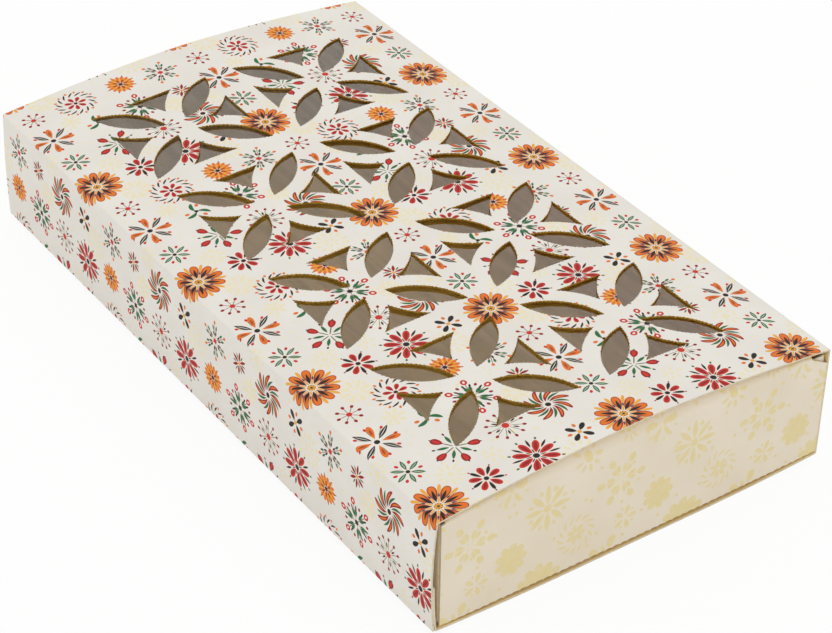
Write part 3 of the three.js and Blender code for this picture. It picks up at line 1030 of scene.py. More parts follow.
@dataclass
class Blank:
    """A flat blank as a net of triangles, which a surface folds into a closed thin sheet."""

    points: np.ndarray
    triangles: np.ndarray
    on_hole: np.ndarray  # for each point, whether it lies on a hole's edge

    @classmethod
    def cut(cls, u_lines: Sequence[float], v_lines: Sequence[float], holes: Sequence[np.ndarray] = (),
            outline: Optional[np.ndarray] = None, clear: float = 0.5) -> "Blank":
        """Cuts a blank from a grid.

        Args:
            u_lines: grid lines across the blank.
            v_lines: grid lines along it.
            holes: closed outlines that are cut out.
            outline: the blank's own outline, where it isn't the whole grid.
            clear: grid points nearer than this to an outline are left out.

        Returns:
            The cut blank.
        """
        grid = np.array(np.meshgrid(u_lines, v_lines, indexing="ij")).reshape(2, -1).T
        loops = [anticlockwise(loop) for loop in ([outline] if outline is not None else []) + list(holes)]
        if loops:
            rims = np.concatenate(loops)
            tree = KDTree(len(rims))
            for i, (u, v) in enumerate(rims):
                tree.insert((u, v, 0), i)
            tree.balance()
            grid = np.array([p for p in grid if tree.find((p[0], p[1], 0))[2] > clear])
        places = np.concatenate([grid, *loops]) if loops else grid
        faces, start = [], len(grid)
        for loop in loops:
            faces.append(list(range(start, start + len(loop))))
            start += len(loop)
        first_hole = 0 if outline is None else 1
        hole_start = len(grid) + (0 if outline is None else len(outline))
        made = delaunay_2d_cdt([Vector(p) for p in places.tolist()], [], faces, 0, WELD, True)
        kept = [
            triangle for triangle, origins in zip(made[2], made[5])
            if not any(i >= first_hole for i in origins) and (outline is None or 0 in origins)
        ]
        used = sorted({i for triangle in kept for i in triangle})
        renumber = {old: new for new, old in enumerate(used)}
        return cls(
            np.array([made[0][i] for i in used]),
            np.array([[renumber[i] for i in triangle] for triangle in kept]),
            np.array([any(o >= hole_start for o in made[3][i]) for i in used]),
        )

    def fold(self, name: str, surface: Surface, thickness: float, finishes: Sequence[Finish],
             place: Optional[Surface] = None, flip: bool = False) -> bpy.types.Object:
        """Folds the blank into a closed sheet.

        Args:
            name: the piece's name.
            surface: gives the outer face's points for places on the blank.
            thickness: the sheet's thickness, inward from the outer face.
            finishes: of the outer face, the inner face, the outer cut edge and the edges of holes.
            place: gives the print's place for places on the blank, where they differ.
            flip: whether the outer face is on the other side of the blank.

        Returns:
            The new object.
        """
        u, v = self.points.T
        outer = surface(u, v)
        across = surface(u + SLOPE_STEP, v) - surface(u - SLOPE_STEP, v)
        along = surface(u, v + SLOPE_STEP) - surface(u, v - SLOPE_STEP)
        normal = np.cross(across, along) * (-1 if flip else 1)
        normal /= np.linalg.norm(normal, axis=1)[:, None]
        inner = outer - normal * thickness
        count = len(outer)
        face_up = self.triangles[:, ::-1] if flip else self.triangles
        sides = np.concatenate([face_up[:, [0, 1]], face_up[:, [1, 2]], face_up[:, [2, 0]]])
        keys = np.sort(sides, axis=1)
        _, first, uses = np.unique(keys, axis=0, return_index=True, return_counts=True)
        rim = sides[first[uses == 1]]
        walls = np.column_stack([rim[:, 1], rim[:, 0], rim[:, 0] + count, rim[:, 1] + count])
        faces = face_up.tolist() + (face_up[:, ::-1] + count).tolist() + walls.tolist()
        mesh = bpy.data.meshes.new(name)
        mesh.from_pydata((np.concatenate([outer, inner]) * MM).tolist(), [], faces)
        hole_rim = self.on_hole[rim].all(axis=1)
        numbers = np.concatenate([
            np.full(len(face_up), Side.OUTER), np.full(len(face_up), Side.INNER),
            np.where(hole_rim, Side.HOLE, Side.EDGE),
        ]).astype(np.int32)
        mesh.polygons.foreach_set("material_index", numbers)
        flat = place(u, v) if place else np.column_stack([u, v, np.zeros(count)])
        spots = mesh.attributes.new(BLANK, "FLOAT_VECTOR", "POINT")
        spots.data.foreach_set("vector", np.concatenate([flat, flat]).astype(np.float32).ravel())
        for finish in finishes:
            mesh.materials.append(finish.material())
        mesh.shade_smooth()
        mesh.set_sharp_from_angle(angle=SHARP_ANGLE)
        mesh.update()
        piece = bpy.data.objects.new(name, mesh)
        bpy.context.scene.collection.objects.link(piece)
        LOG.info("%s: %d faces", name, len(faces))
        return piece


def dress(piece: bpy.types.Object, body: str, nodes: Sequence[str]) -> None:
    """Seats a piece in the frame.

    Args:
        piece: the piece.
        body: CAD body that it moves with.
        nodes: CAD nodes that it stands for.
    """
    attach(piece, body)
    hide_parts(*nodes)


@dataclass
class Windows:
    """The cut-out windows: groups of four petals and four curved triangles on a grid."""

    tile: float = 38.6
    arc_centre: float = 22.7
    petal_radius: float = 19.7
    ribbon: float = 4.9
    pitch_wide: float = 48.2
    pitch_long: float = 49.0
    groups_wide: int = 2
    groups_long: int = 4
    step: float = 0.34  # along the cut
    nick: float = 0.13  # depth of the cut's teeth
    nick_pitch: float = 1.05
    nick_drift: float = 0.3  # how uneven the teeth's pitch is, as a share of it
    nick_rough: float = 0.5  # and their depth
    nick_ease: int = 3  # steps from a corner within which the teeth fade
    seed: int = 3

    def outlines(self) -> List[np.ndarray]:
        """Gives every window's cut edge.

        Returns:
            A closed outline for each window, around the top panel's middle.
        """
        draw = random.Random(self.seed)
        loops = []
        for column in range(self.groups_wide):
            for row in range(self.groups_long):
                middle = np.array([
                    (column - (self.groups_wide - 1) / 2) * self.pitch_wide,
                    (row - (self.groups_long - 1) / 2) * self.pitch_long,
                ])
                for quarter in range(4):
                    turn = quarter * math.pi / 2
                    spin = np.array([[math.cos(turn), math.sin(turn)], [-math.sin(turn), math.cos(turn)]])
                    for sides in (self._petal(), self._triangle()):
                        loops.append(self._toothed(sides, draw) @ spin + middle)
        return loops

    def _arc(self, centre: Point, radius: float, start: Point, end: Point) -> np.ndarray:
        """Samples the shorter arc between two points.

        Args:
            centre: the circle's centre.
            radius: its radius.
            start: first point.
            end: last point.

        Returns:
            Points from start up to, but without, end.
        """
        first = math.atan2(start[1] - centre[1], start[0] - centre[0])
        sweep = math.atan2(end[1] - centre[1], end[0] - centre[0]) - first
        sweep = (sweep + math.pi) % (2 * math.pi) - math.pi
        angles = first + sweep * np.linspace(0, 1, math.ceil(abs(sweep) * radius / self.step) + 1)[:-1]
        return np.column_stack([centre[0] + radius * np.cos(angles), centre[1] + radius * np.sin(angles)])

    def _petal(self) -> List[np.ndarray]:
        """Gives the two sides of the petal between +X and +Y.

        Returns:
            Points along each side.
        """
        c, r = self.arc_centre, self.petal_radius
        spread = math.sqrt(2 * r**2 - c**2)
        inner, outer = (c - spread) / 2, (c + spread) / 2
        return [
            self._arc((0, c), r, (inner, inner), (outer, outer)),
            self._arc((c, 0), r, (outer, outer), (inner, inner)),
        ]

    def _triangle(self) -> List[np.ndarray]:
        """Gives the three sides of the triangle on +X.

        Returns:
            Points along each side.
        """
        c, r, base = self.arc_centre, self.petal_radius + self.ribbon, self.tile / 2
        apex = math.sqrt(r**2 - c**2)
        half = c - math.sqrt(r**2 - base**2)
        count = math.ceil(2 * half / self.step)
        straight = np.column_stack([np.full(count, base), np.linspace(-half, half, count + 1)[:-1]])
        return [
            straight,
            self._arc((0, c), r, (base, half), (apex, 0)),
            self._arc((0, -c), r, (apex, 0), (base, -half)),
        ]

    def _toothed(self, sides: List[np.ndarray], draw: random.Random) -> np.ndarray:
        """Gives a window's sides the fine teeth of its cut.

        Args:
            sides: the smooth sides, in order.
            draw: seeded draws.

        Returns:
            One closed outline.
        """
        whole = np.concatenate(sides)
        ahead = np.roll(whole, -1, axis=0) - np.roll(whole, 1, axis=0)
        ahead /= np.linalg.norm(ahead, axis=1)[:, None]
        outward = np.column_stack([ahead[:, 1], -ahead[:, 0]])
        depth = []
        for side in sides:
            phase = draw.uniform(0, 2 * math.pi)
            for i in range(len(side)):
                drift = draw.uniform(1 - self.nick_drift, 1 + self.nick_drift)
                phase += 2 * math.pi * self.step / self.nick_pitch * drift
                ease = min(1.0, min(i, len(side) - i) / self.nick_ease)
                rough = draw.uniform(-self.nick_rough, self.nick_rough)
                depth.append(ease * self.nick * (math.sin(phase) + rough))
        return whole + outward * np.array(depth)[:, None]


class Panel(IntEnum):
    """Panels of the sleeve, in their order round the section."""

    LEFT = 0
    TOP = 1
    RIGHT = 2
    BOTTOM = 3
    FLAP = 4


@dataclass
class Sleeve:
    """The printed sleeve: one board wrapped round, with its window film."""

    windows: Windows = field(default_factory=Windows)
    bow_near: float = 4.3  # rise of the top's middle over its creases, at each mouth
    bow_far: float = 4.1
    bow_middle: float = 2.2  # and half way along
    bow_power: float = 1.6  # how late the bow grows toward a mouth
    crown: float = 2.6  # power of the top's section half way along
    crown_loss: float = 0.9  # and how much lower it is at a mouth
    left_bow: float = 1.0  # how far the left wall swells out
    right_lean: float = 0.3  # how far the right wall's foot stands in from its head
    foot_spread: float = 0.6  # how far the left wall's foot stands out from its head
    far_calm: float = 0.6  # share of the left wall's swell that is gone at the far mouth
    rest_half: float = 21.0  # half of the flat strip that the box stands on
    crease: float = 0.6  # how far a fold's rounding reaches from its corner
    fold_lines: int = 9  # grid lines in a fold's rounding
    seam: float = 0.1  # thickness of the seam's glue
    seam_grid: float = 1.0
    film_sag: float = 0.35  # how far the film hangs below the board in the middle
    film_wave: float = 0.1  # height of its ripples
    film_hold: float = 1.0  # how far past its glue it lies flat
    film_ease: float = 14.0  # and the width over which it then comes free
    film_thickness: float = 0.1
    film_glue: float = 0.12  # gap that the glue fills
    film_air: float = 0.01  # air above and below the glue
    film_glue_width: float = 4.0
    film_grid: float = 2.0
    grid: float = 3.0

    def __post_init__(self) -> None:
        """Takes the main sizes from the CAD nodes."""
        low, high = node_box("sleeve_left_wall")
        self.board = high[0] - low[0]
        self.half = -low[0]
        self.end = high[1]
        self.foot = low[2] - self.board
        self.head = high[2] + self.board
        self.flap_head = node_box("sleeve_glue_flap")[1][2]
        self.flap = self.half - self.board - self.seam
        self.wall_foot = self.foot + self.board / 2
        # Corners of the section, from the left wall's foot over the top to the glue flap
        self.corners = np.array([
            (-self.half - self.foot_spread, self.wall_foot), (-self.half, self.head), (self.half, self.head),
            (self.half - self.right_lean, self.foot), (-self.flap - self.foot_spread, self.foot),
            (-self.flap, self.flap_head),
        ])
        lengths = np.linalg.norm(np.diff(self.corners, axis=0), axis=1)
        self.folds = np.concatenate([[0], np.cumsum(lengths)])
        self.top_middle = (self.folds[Panel.TOP] + self.folds[Panel.RIGHT]) / 2

    def bow(self, y: np.ndarray) -> np.ndarray:
        """Gives the rise of the top's middle at places along the box."""
        end_bow = np.where(y < 0, self.bow_near, self.bow_far)
        return self.bow_middle + (end_bow - self.bow_middle) * np.abs(y / self.end) ** self.bow_power

    def _wall_share(self, z: np.ndarray) -> np.ndarray:
        """Gives how far up the left wall a height is, from 0 to 1."""
        return np.clip((z - self.wall_foot) / (self.head - self.wall_foot), 0, 1)

    def _swell(self, z: np.ndarray) -> np.ndarray:
        """Gives how far the left wall bows out at a height."""
        return self.left_bow * (1 - (2 * self._wall_share(z) - 1) ** 2)

    def swing(self, z: np.ndarray) -> np.ndarray:
        """Gives how far the left wall stands out at a height, from its bow and its spread foot."""
        return self._swell(z) + self.foot_spread * (1 - self._wall_share(z))

    def _panel(self, number: int, u: np.ndarray, y: np.ndarray) -> np.ndarray:
        """Gives points on one panel, without the rounding of its folds.

        Args:
            number: panel, from the left wall to the glue flap.
            u: places round the section.
            y: places along the box.

        Returns:
            Points as (x, z).
        """
        start, end = self.corners[number], self.corners[number + 1]
        share = (u - self.folds[number]) / (self.folds[number + 1] - self.folds[number])
        flat = start + (end - start) * share[:, None]
        side = np.abs(2 * share - 1)
        if number in (Panel.LEFT, Panel.FLAP):
            flat[:, 0] = -(self.half if number == Panel.LEFT else self.flap) - self.swing(flat[:, 1])
        elif number == Panel.TOP:
            power = self.crown - self.crown_loss * np.abs(y / self.end)
            flat[:, 1] += self.bow(y) * (1 - np.clip(side, 0, 1) ** power)
        elif number == Panel.BOTTOM:
            rest = self.rest_half / self.half
            flat[:, 1] -= self.foot * (1 - np.clip((side - rest) / (1 - rest), 0, 1) ** 2)
        return flat

    def surface(self, u: np.ndarray, y: np.ndarray) -> np.ndarray:
        """Gives the sleeve's outer face.

        Args:
            u: places round the section.
            y: places along the box.

        Returns:
            Points in space.
        """
        panels = np.clip(np.searchsorted(self.folds, u, side="right") - 1, Panel.LEFT, Panel.FLAP)
        section = np.zeros((len(u), 2))
        for number in Panel:
            on = panels == number
            section[on] = self._panel(number, u[on], y[on])
        for number in list(Panel)[1:]:
            near = np.abs(u - self.folds[number]) < self.crease
            if not near.any():
                continue
            run = ((u[near] - self.folds[number]) / self.crease + 1)[:, None] / 2
            ends = [np.full(near.sum(), self.folds[number] + way * self.crease) for way in (-1, 1)]
            before = self._panel(number - 1, ends[0], y[near])
            after = self._panel(number, ends[1], y[near])
            corner = self.corners[number]
            section[near] = (1 - run) ** 2 * before + 2 * run * (1 - run) * corner + run**2 * after
        return self.settled(section[:, 0], y, section[:, 1])

    def settled(self, x: np.ndarray, y: np.ndarray, z: np.ndarray) -> np.ndarray:
        """Takes the left wall's swell back toward the far mouth.

        Args:
            x: places across the box.
            y: places along it.
            z: heights.

        Returns:
            Points in space.
        """
        far = (1 + y / self.end) / 2
        calm = self.far_calm * self._swell(z) * far
        return np.column_stack([x + calm * np.clip(-x / self.half, 0, 1), y, z])

    def top(self, x: np.ndarray, y: np.ndarray) -> np.ndarray:
        """Gives the top panel's outer face at places across and along the box."""
        return self.surface(self.top_middle + x, y)

    def _under_top(self, x: np.ndarray, y: np.ndarray, gap: Union[float, np.ndarray]) -> np.ndarray:
        """Gives points below the top panel's board.

        Args:
            x: places across the box.
            y: places along it.
            gap: how far below the board.

        Returns:
            Points in space.
        """
        points = self.top(x, y)
        points[:, 2] -= self.board + gap
        return points

    def _round_lines(self) -> np.ndarray:
        """Gives the grid lines round the section, close together at the folds.

        Returns:
            The lines' places, in order.
        """
        lines = set()
        folds = self.folds
        for number in Panel:
            low = folds[number] + (self.crease if number > Panel.LEFT else 0)
            high = folds[number + 1] - (self.crease if number < Panel.FLAP else 0)
            lines.update(lines_between(low, high, self.grid))
            if number > Panel.LEFT:
                lines.update(folds[number] + self.crease * np.linspace(-1, 1, self.fold_lines))
        return distinct(sorted(lines))

    def build(self) -> None:
        """Makes the folded board, the film and the glue of both."""
        holes = [loop + (self.top_middle, 0) for loop in self.windows.outlines()]
        blank = Blank.cut(self._round_lines(), lines_between(-self.end, self.end, self.grid), holes)
        # The windows' edges get the scorched finish, which also holds painted shade of the gap between board
        # and film
        finishes = (PRINTED, BARE, PALE_EDGE, SCORCHED_AND_SHADED_EDGE)
        shell = blank.fold("sleeve_shell", self.surface, self.board, finishes)
        dress(shell, "sleeve", (
            "sleeve_top_panel", "sleeve_left_wall", "sleeve_right_wall", "sleeve_bottom_panel",
            "sleeve_glue_flap",
        ))
        self._build_film()
        self._build_seam()

    def _build_seam(self) -> None:
        """Makes the glue between the left wall and the flap."""
        low, high = node_box("sleeve_seam_glue")

        def face(z: np.ndarray, y: np.ndarray) -> np.ndarray:
            """Gives the glue's face on the wall."""
            return self.settled(-self.half + self.board - self.swing(z), y, z)

        heights = lines_between(low[2], high[2], self.seam_grid)
        blank = Blank.cut(heights, lines_between(low[1], high[1], self.grid))
        seam = blank.fold("seam_glue", face, self.seam, (GLUE,) * len(Side))
        dress(seam, "sleeve", ("sleeve_seam_glue",))

    @staticmethod
    def _ripples(across: np.ndarray, along: np.ndarray) -> np.ndarray:
        """Gives the film's ripples, as three crossing waves some 30 to 50 mm long.

        Args:
            across: places across the box.
            along: places along it.

        Returns:
            Heights from about -2.5 to 2.5.
        """
        bent = np.sin(across / 6.1 + np.sin(along / 13))
        slanted = np.sin(along / 7.7 + across / 17 + 1)
        fine = np.sin(along / 4.3 - across / 9 + 2) * 0.5
        return bent + slanted + fine

    def _build_film(self) -> None:
        """Makes the film under the windows, and the glue frame that holds it."""
        x, y, _ = node_box("window_film")[1]
        thick, glue, width = self.film_thickness, self.film_glue, self.film_glue_width
        held = width + self.film_hold

        def drop(across: np.ndarray, along: np.ndarray) -> np.ndarray:
            """Gives the gap between the board and the film.

            Args:
                across: places across the box.
                along: places along it.

            Returns:
                The gaps.
            """
            inset = np.minimum(x - np.abs(across), y - np.abs(along))
            free = np.clip((inset - held) / self.film_ease, 0, 1)
            belly = np.ones(len(across))
            for place, reach in ((across, x), (along, y)):
                belly *= np.sqrt(np.clip(1 - (place / reach) ** 2, 0, 1))
            ripples = self.film_wave * self._ripples(across, along)
            return glue + free * np.maximum(0, self.film_sag * belly + ripples)

        def film_face(across: np.ndarray, along: np.ndarray) -> np.ndarray:
            """Gives the film's upper face."""
            return self._under_top(across, along, drop(across, along))

        def glue_face(across: np.ndarray, along: np.ndarray) -> np.ndarray:
            """Gives the glue's upper face, on the board's underside."""
            return self._under_top(across, along, self.film_air)

        net = [lines_between(-reach, reach, self.film_grid) for reach in (x, y)]
        film = Blank.cut(*net).fold("film", film_face, thick, (FILM,) * len(Side))
        dress(film, "sleeve", ("window_film",))
        inside = rectangle(0, 0, x - width, y - width, self.film_grid)
        glue_blank = Blank.cut(*net, [inside])
        border = glue_blank.fold("film_glue", glue_face, glue - 2 * self.film_air, (GLUE,) * len(Side))
        dress(border, "sleeve", ("film_glue_border",))


@dataclass
class Tray:
    """The cream tray: a base with side walls and corner tabs, and an end strip rolled over at each end."""

    sleeve: Sleeve
    crease: float = 0.6
    head_gap: float = 0.6  # sleeve's top to the rolled edge
    end_slack: float = 0.02  # end wall to the sleeve's right wall
    end_reach: float = 0.25  # how far the outer end wall stands out from the base's end
    shoulder_widths: Tuple[float, float] = (1.2, 5.5)  # end wall past the roll, at the seam and opposite
    shoulder_drops: Tuple[float, float] = (0.4, 3.0)  # and how far its head slopes down there
    low_haste: float = 0.45  # how soon the roll turns up where it is low, as a power; 1 is evenly
    tab_relief: float = 1.0  # corner tab's head below the side wall's
    side_drop: float = 0.25  # how far the base's sides and its middle hang below the CAD base
    middle_drop: float = 0.8
    lock_middle: float = 32.0  # lock tabs of the inner walls, from the tray's middle
    lock_half: float = 8.0
    slot_slack: float = 0.3
    tab_air: float = 0.05  # side wall's end to the corner that its tab turns round
    fold_lines: int = 7  # grid lines in a fold's rounding
    roll_lines: int = 19  # and over the roll
    roll_clear: float = 0.4  # room that the end wall's grid leaves at the roll
    end_grid: Tuple[float, float] = (2.5, 2.0)  # across and up the end wall
    outline_step: float = 0.8
    slot_step: float = 2.0
    clears: Tuple[float, float] = (0.15, 0.2)  # grid to the outlines of the shell and of an end strip
    grid: float = 3.0

    def __post_init__(self) -> None:
        """Takes the main sizes from the CAD nodes."""
        base_low, base_high = node_box("tray_base")
        wall_low, wall_high = node_box("tray_left_wall")
        tab_low, tab_high = node_box("tray_front_left_corner_tab")
        roll_low, roll_high = node_box("tray_front_rolled_edge")
        inner_low, inner_high = node_box("tray_front_inner_wall")
        self.board = wall_high[0] - wall_low[0]
        self.left, self.right = base_low[0], base_high[0]
        self.end = base_high[1]
        self.foot = base_low[2]
        self.side_head = wall_high[2]
        self.wall_end = wall_high[1] - self.tab_air
        self.tab_length = tab_high[0] - tab_low[0]
        self.roll = (roll_high[1] - roll_low[1]) / 2
        self.roll_foot = roll_low[2]
        self.inner_half = (inner_high[0] - inner_low[0]) / 2
        self.slot_place = -(inner_low[1] + inner_high[1]) / 2

    def build(self) -> None:
        """Makes the base with its side walls and tabs, and both ends."""
        self._build_shell()
        self._build_end("front", -1)
        self._build_end("back", 1)

    def foot_at(self, x: np.ndarray) -> np.ndarray:
        """Gives the height of the sagging base's underside at places across the tray.

        Args:
            x: the places.

        Returns:
            The heights.
        """
        middle, half = (self.left + self.right) / 2, (self.right - self.left) / 2
        share = 1 - np.clip((x - middle) / half, -1, 1) ** 2
        return self.foot - self.side_drop - (self.middle_drop - self.side_drop) * share

    def _shell_face(self, u: np.ndarray, v: np.ndarray) -> np.ndarray:
        """Gives the outer face of the base, the side walls and their corner tabs.

        Args:
            u: places across the blank, from the left wall's head to the right wall's.
            v: places along the blank, with a corner tab past each end of a side wall.

        Returns:
            Points in space.
        """
        tall, wide = self.side_head - self.foot, self.right - self.left
        x = self.left + np.clip(u - tall, 0, wide)
        z = self.foot_at(x) + np.where(u < tall, tall - u, np.maximum(0, u - tall - wide))
        for fold, corner, way in ((tall, self.left, 1), (tall + wide, self.right, -1)):
            near = np.abs(u - fold) < self.crease
            run = ((u[near] - fold) * way / self.crease + 1) / 2
            x[near] = corner + way * self.crease * run**2
            z[near] = self.foot_at(x[near]) + self.crease * (1 - run) ** 2
        side = np.where(u < tall, 1, np.where(u > tall + wide, -1, 0))
        past = np.abs(v) - self.wall_end
        run = np.clip((past / self.crease + 1) / 2, 0, 1)
        turned = np.where(past > self.crease, past, self.crease * run**2)
        y = np.where(past > self.crease, self.wall_end, self.wall_end - self.crease * (1 - run) ** 2)
        y = np.where((side == 0) | (past < -self.crease), np.abs(v), y)
        return np.column_stack([x + side * turned, np.sign(v) * y, z])

    def _build_shell(self) -> None:
        """Makes the base, side walls and corner tabs as one folded board, with slots for the lock tabs."""
        tall, wide, fold = self.side_head - self.foot, self.right - self.left, self.crease
        total = 2 * tall + wide
        base_end = self.end - fold
        wall_stop = self.wall_end - fold
        tab_end = self.wall_end + self.tab_length
        # The blank is cut away between a tab's foot and the base, clear of the long fold
        tab_foot, base_start = tall - 2 * fold, tall + 1.5 * fold
        quarter = [
            (0, wall_stop), (self.tab_relief, wall_stop), (self.tab_relief, tab_end), (tab_foot, tab_end),
            (tab_foot, wall_stop), (base_start, wall_stop), (base_start, base_end),
        ]
        far = quarter + [(total - u, v) for u, v in reversed(quarter)]
        outline = fine_loop(far + [(u, -v) for u, v in reversed(far)], self.outline_step)
        rounding = fold * np.linspace(-1, 1, self.fold_lines)
        u_lines = np.concatenate([
            lines_between(0, tall - fold, self.grid), tall + rounding,
            lines_between(tall + fold, tall + wide - fold, self.grid), tall + wide + rounding,
            lines_between(tall + wide + fold, total, self.grid),
        ])
        bends = self.wall_end + rounding
        tabs = lines_between(self.wall_end + fold, tab_end, self.grid)
        walls = lines_between(-wall_stop, wall_stop, self.grid)
        v_lines = np.concatenate([walls, bends, tabs, -bends, -tabs])
        slots = []
        reach, gap = self.lock_half + self.slot_slack, self.board / 2 + self.slot_slack
        for y in (-self.slot_place, self.slot_place):
            for x in (-self.lock_middle, self.lock_middle):
                slots.append(rectangle(tall + wide / 2 + x, y, reach, gap, self.slot_step))
        blank = Blank.cut(distinct(u_lines), distinct(v_lines), slots, outline=outline, clear=self.clears[0])
        shell = blank.fold("tray_shell", self._shell_face, self.board, (CREAM, GOLDEN, PALE_EDGE, PALE_EDGE),
                           flip=True)
        tabs = [f"tray_{end}_{side}_corner_tab" for end in ("front", "back") for side in ("left", "right")]
        dress(shell, "tray", ("tray_base", "tray_left_wall", "tray_right_wall", *tabs))

    def _build_end(self, name: str, way: int) -> None:
        """Makes one end: outer wall, rolled edge and inner wall as one strip.

        Args:
            name: front or back.
            way: -1 for the front, 1 for the back.
        """
        right = self.sleeve.half - self.sleeve.board - self.end_slack
        middle, half = (self.left + right) / 2, (right - self.left) / 2
        inner, crease_height = self.inner_half, self.roll_foot

        def rise(x: np.ndarray) -> np.ndarray:
            """Gives the roll's rise over its creases, under the sleeve's bow."""
            top = self.sleeve.top(middle - way * x, np.full(len(x), way * self.end))[:, 2]
            return top - self.sleeve.board - self.head_gap - crease_height

        tall = crease_height - self.foot
        full_rise = float(rise(np.zeros(1))[0])
        turned = tall + 2 * math.hypot(self.roll, full_rise)
        low = turned + tall - self.board
        fold = 2 * self.crease

        def face(x: np.ndarray, w: np.ndarray) -> np.ndarray:
            """Gives the strip's outer face at places across and along the strip.

            Args:
                x: places across the strip, from its middle.
                w: places along it, from the base's end.

            Returns:
                Points in space.
            """
            foot = self.foot_at(middle - way * x)
            run = np.clip(w / fold, 0, 1)
            start = foot + self.crease
            climb = start + (w - fold) / (tall - fold) * (crease_height - start)
            height = np.where(w < fold, foot + self.crease * run**2, climb)
            share = np.clip((w - tall) / (turned - tall), 0, 1)
            depth = self.crease * (1 - run) ** 2 + 2 * self.roll * share - self.end_reach * (1 - share)
            crest = rise(x)
            haste = self.low_haste + (1 - self.low_haste) * np.clip(crest / full_rise, 0, 1)
            height = np.where(w > tall, crease_height + crest * np.sin(math.pi * share**haste), height)
            fall = (w - turned) / (low - turned)
            height = np.where(w > turned, crease_height - fall * (crease_height - foot - self.board), height)
            place = middle - way * x
            lean = self.sleeve.right_lean * np.clip((place - middle) / half, 0, 1)
            place -= lean * np.clip((crease_height - height) / tall, 0, 1)
            return np.column_stack([place, way * (self.end - depth), height])

        ends = []
        for width, drop in zip(self.shoulder_widths, self.shoulder_drops):
            roll_end = half - width
            side = [(half, 0), (half, tall - drop), (roll_end, tall), (roll_end, turned),
                    (min(inner, roll_end), turned + drop), (min(inner, roll_end), low)]
            for reach in (self.lock_half, -self.lock_half):
                steps = (low, low + self.board) if reach > 0 else (low + self.board, low)
                side += [(self.lock_middle + reach, step) for step in steps]
            ends.append(side)
        outline = fine_loop(ends[1] + [(-x, w) for x, w in reversed(ends[0])], self.outline_step)
        grid_across, grid_up = self.end_grid
        w_lines = distinct(np.concatenate([
            np.linspace(0, fold, self.fold_lines), lines_between(fold, tall - self.roll_clear, grid_up),
            np.linspace(tall, turned, self.roll_lines), lines_between(turned, low, self.grid),
        ]))
        x_lines = lines_between(-half, half, grid_across)
        blank = Blank.cut(x_lines, w_lines, outline=outline, clear=self.clears[1])
        strip = blank.fold(f"tray_{name}_end", face, self.board, (CREAM, GOLDEN, PALE_EDGE, PALE_EDGE))
        dress(strip, "tray", (
            f"tray_{name}_wall", f"tray_{name}_rolled_edge", f"tray_{name}_inner_wall",
        ))


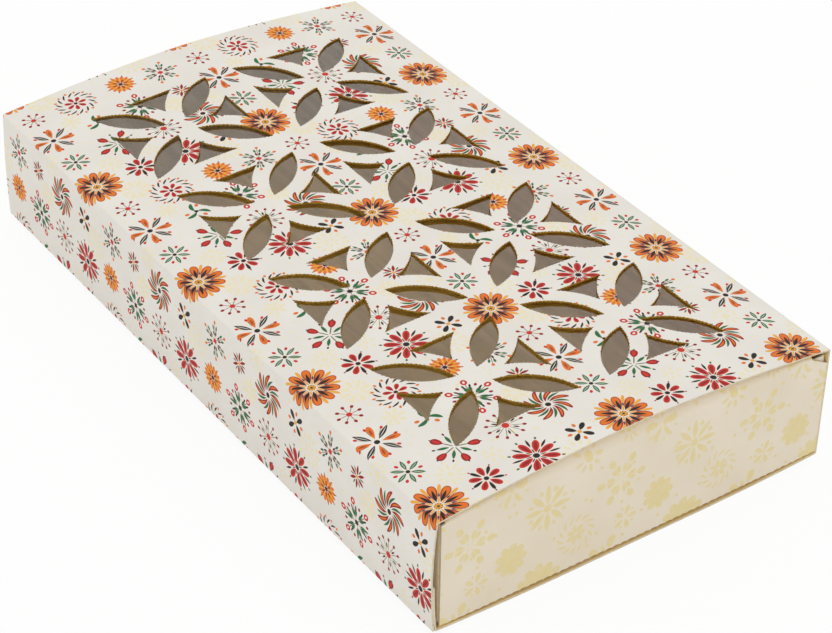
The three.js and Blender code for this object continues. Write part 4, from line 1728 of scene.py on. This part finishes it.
@dataclass
class Studio:
    """Floor, soft light and camera."""

    aim: Tuple[float, float, float] = (-6.21, -21.83, 20.0)
    distance: float = 706.9
    azimuth: float = -35.09  # 0 looks along +Y
    elevation: float = 35.87
    roll: float = 0.779
    lens: float = 110.57
    sensor: float = 36.0
    sky: float = 0.97
    sky_low: Colour = (0.97, 0.98, 1.0, 1)
    sky_high: Colour = (1.03, 1.02, 1.0, 1)
    sky_bounds: Point = (-0.1, 0.9)  # heights of those two tones, on a sky of radius 1
    floor_size: float = 6.0  # in metres
    floor_drop: float = 0.1  # below the box's foot
    floor_paint: Colour = (0.9, 0.9, 0.9, 1)
    floor_glow: float = 0.92  # share of even white in what is seen of it

    def build(self) -> None:
        """Sets the whole stage."""
        scene = bpy.context.scene
        scene.view_settings.view_transform = "Standard"
        self._sky(scene)
        self._floor()
        self._camera(scene)

    def _sky(self, scene: bpy.types.Scene) -> None:
        """Makes an even white sky.

        Args:
            scene: the scene that it lights.
        """
        world = bpy.data.worlds.new("soft_sky")
        scene.world = world
        bench = cleared(world)
        back, shown = bench.add("Background"), bench.add("Background")
        back.inputs["Strength"].default_value = self.sky
        shown.inputs["Color"].default_value = (1, 1, 1, 1)
        height = bench.add("SeparateXYZ")
        bench.feed(height.inputs[0], bench.add("TexCoord").outputs["Generated"])
        rise = bench.ramp(height.outputs["Z"], *self.sky_bounds)
        bench.feed(back.inputs["Color"], bench.mix(rise, self.sky_low, self.sky_high))
        seen = bench.add("LightPath").outputs["Is Camera Ray"]
        bench.feed(bench.add("OutputWorld").inputs["Surface"], bench.blend(seen, back, shown))

    def _floor(self) -> None:
        """Makes the pale floor, which shows near white and keeps the box's shadow."""
        half = self.floor_size / 2
        mesh = bpy.data.meshes.new("floor")
        mesh.from_pydata([(-half, -half, 0), (half, -half, 0), (half, half, 0), (-half, half, 0)], [],
                         [(0, 1, 2, 3)])
        floor = bpy.data.objects.new("floor", mesh)
        floor.location.z = -self.floor_drop * MM
        bpy.context.scene.collection.objects.link(floor)
        made = bpy.data.materials.new("floor_white")
        bench = cleared(made)
        paint = bench.add("BsdfDiffuse")
        paint.inputs["Color"].default_value = self.floor_paint
        paths = bench.add("LightPath").outputs
        seen = paths["Is Camera Ray"]
        for ray in ("Is Glossy Ray", "Is Transmission Ray"):
            seen = bench.math("MAXIMUM", seen, paths[ray])
        glow = bench.math("MULTIPLY", seen, self.floor_glow)
        shader = bench.blend(glow, paint, bench.add("Emission"))
        bench.feed(bench.add("OutputMaterial").inputs["Surface"], shader)
        mesh.materials.append(made)

    def _camera(self, scene: bpy.types.Scene) -> None:
        """Sets the camera at the photograph's angle.

        Args:
            scene: the scene that it looks at.
        """
        data = bpy.data.cameras.new("camera")
        data.lens = self.lens
        data.sensor_width = self.sensor
        data.sensor_fit = "HORIZONTAL"
        camera = bpy.data.objects.new("camera", data)
        scene.collection.objects.link(camera)
        turn = Matrix.Rotation(math.radians(self.azimuth), 4, "Z")
        tilt = Matrix.Rotation(math.radians(90 - self.elevation), 4, "X")
        spin = Matrix.Rotation(math.radians(self.roll), 4, "Z")
        back = Matrix.Translation((0, 0, self.distance * MM))
        camera.matrix_world = Matrix.Translation(Vector(self.aim) * MM) @ turn @ tilt @ back @ spin
        scene.camera = camera


def main() -> None:
    """Builds the sleeve, the tray and the stage."""
    logging.basicConfig(level=logging.INFO, format="%(name)s %(message)s")
    sleeve = Sleeve()
    sleeve.build()
    Tray(sleeve).build()
    Studio().build()


if __name__ == "__main__":
    main()
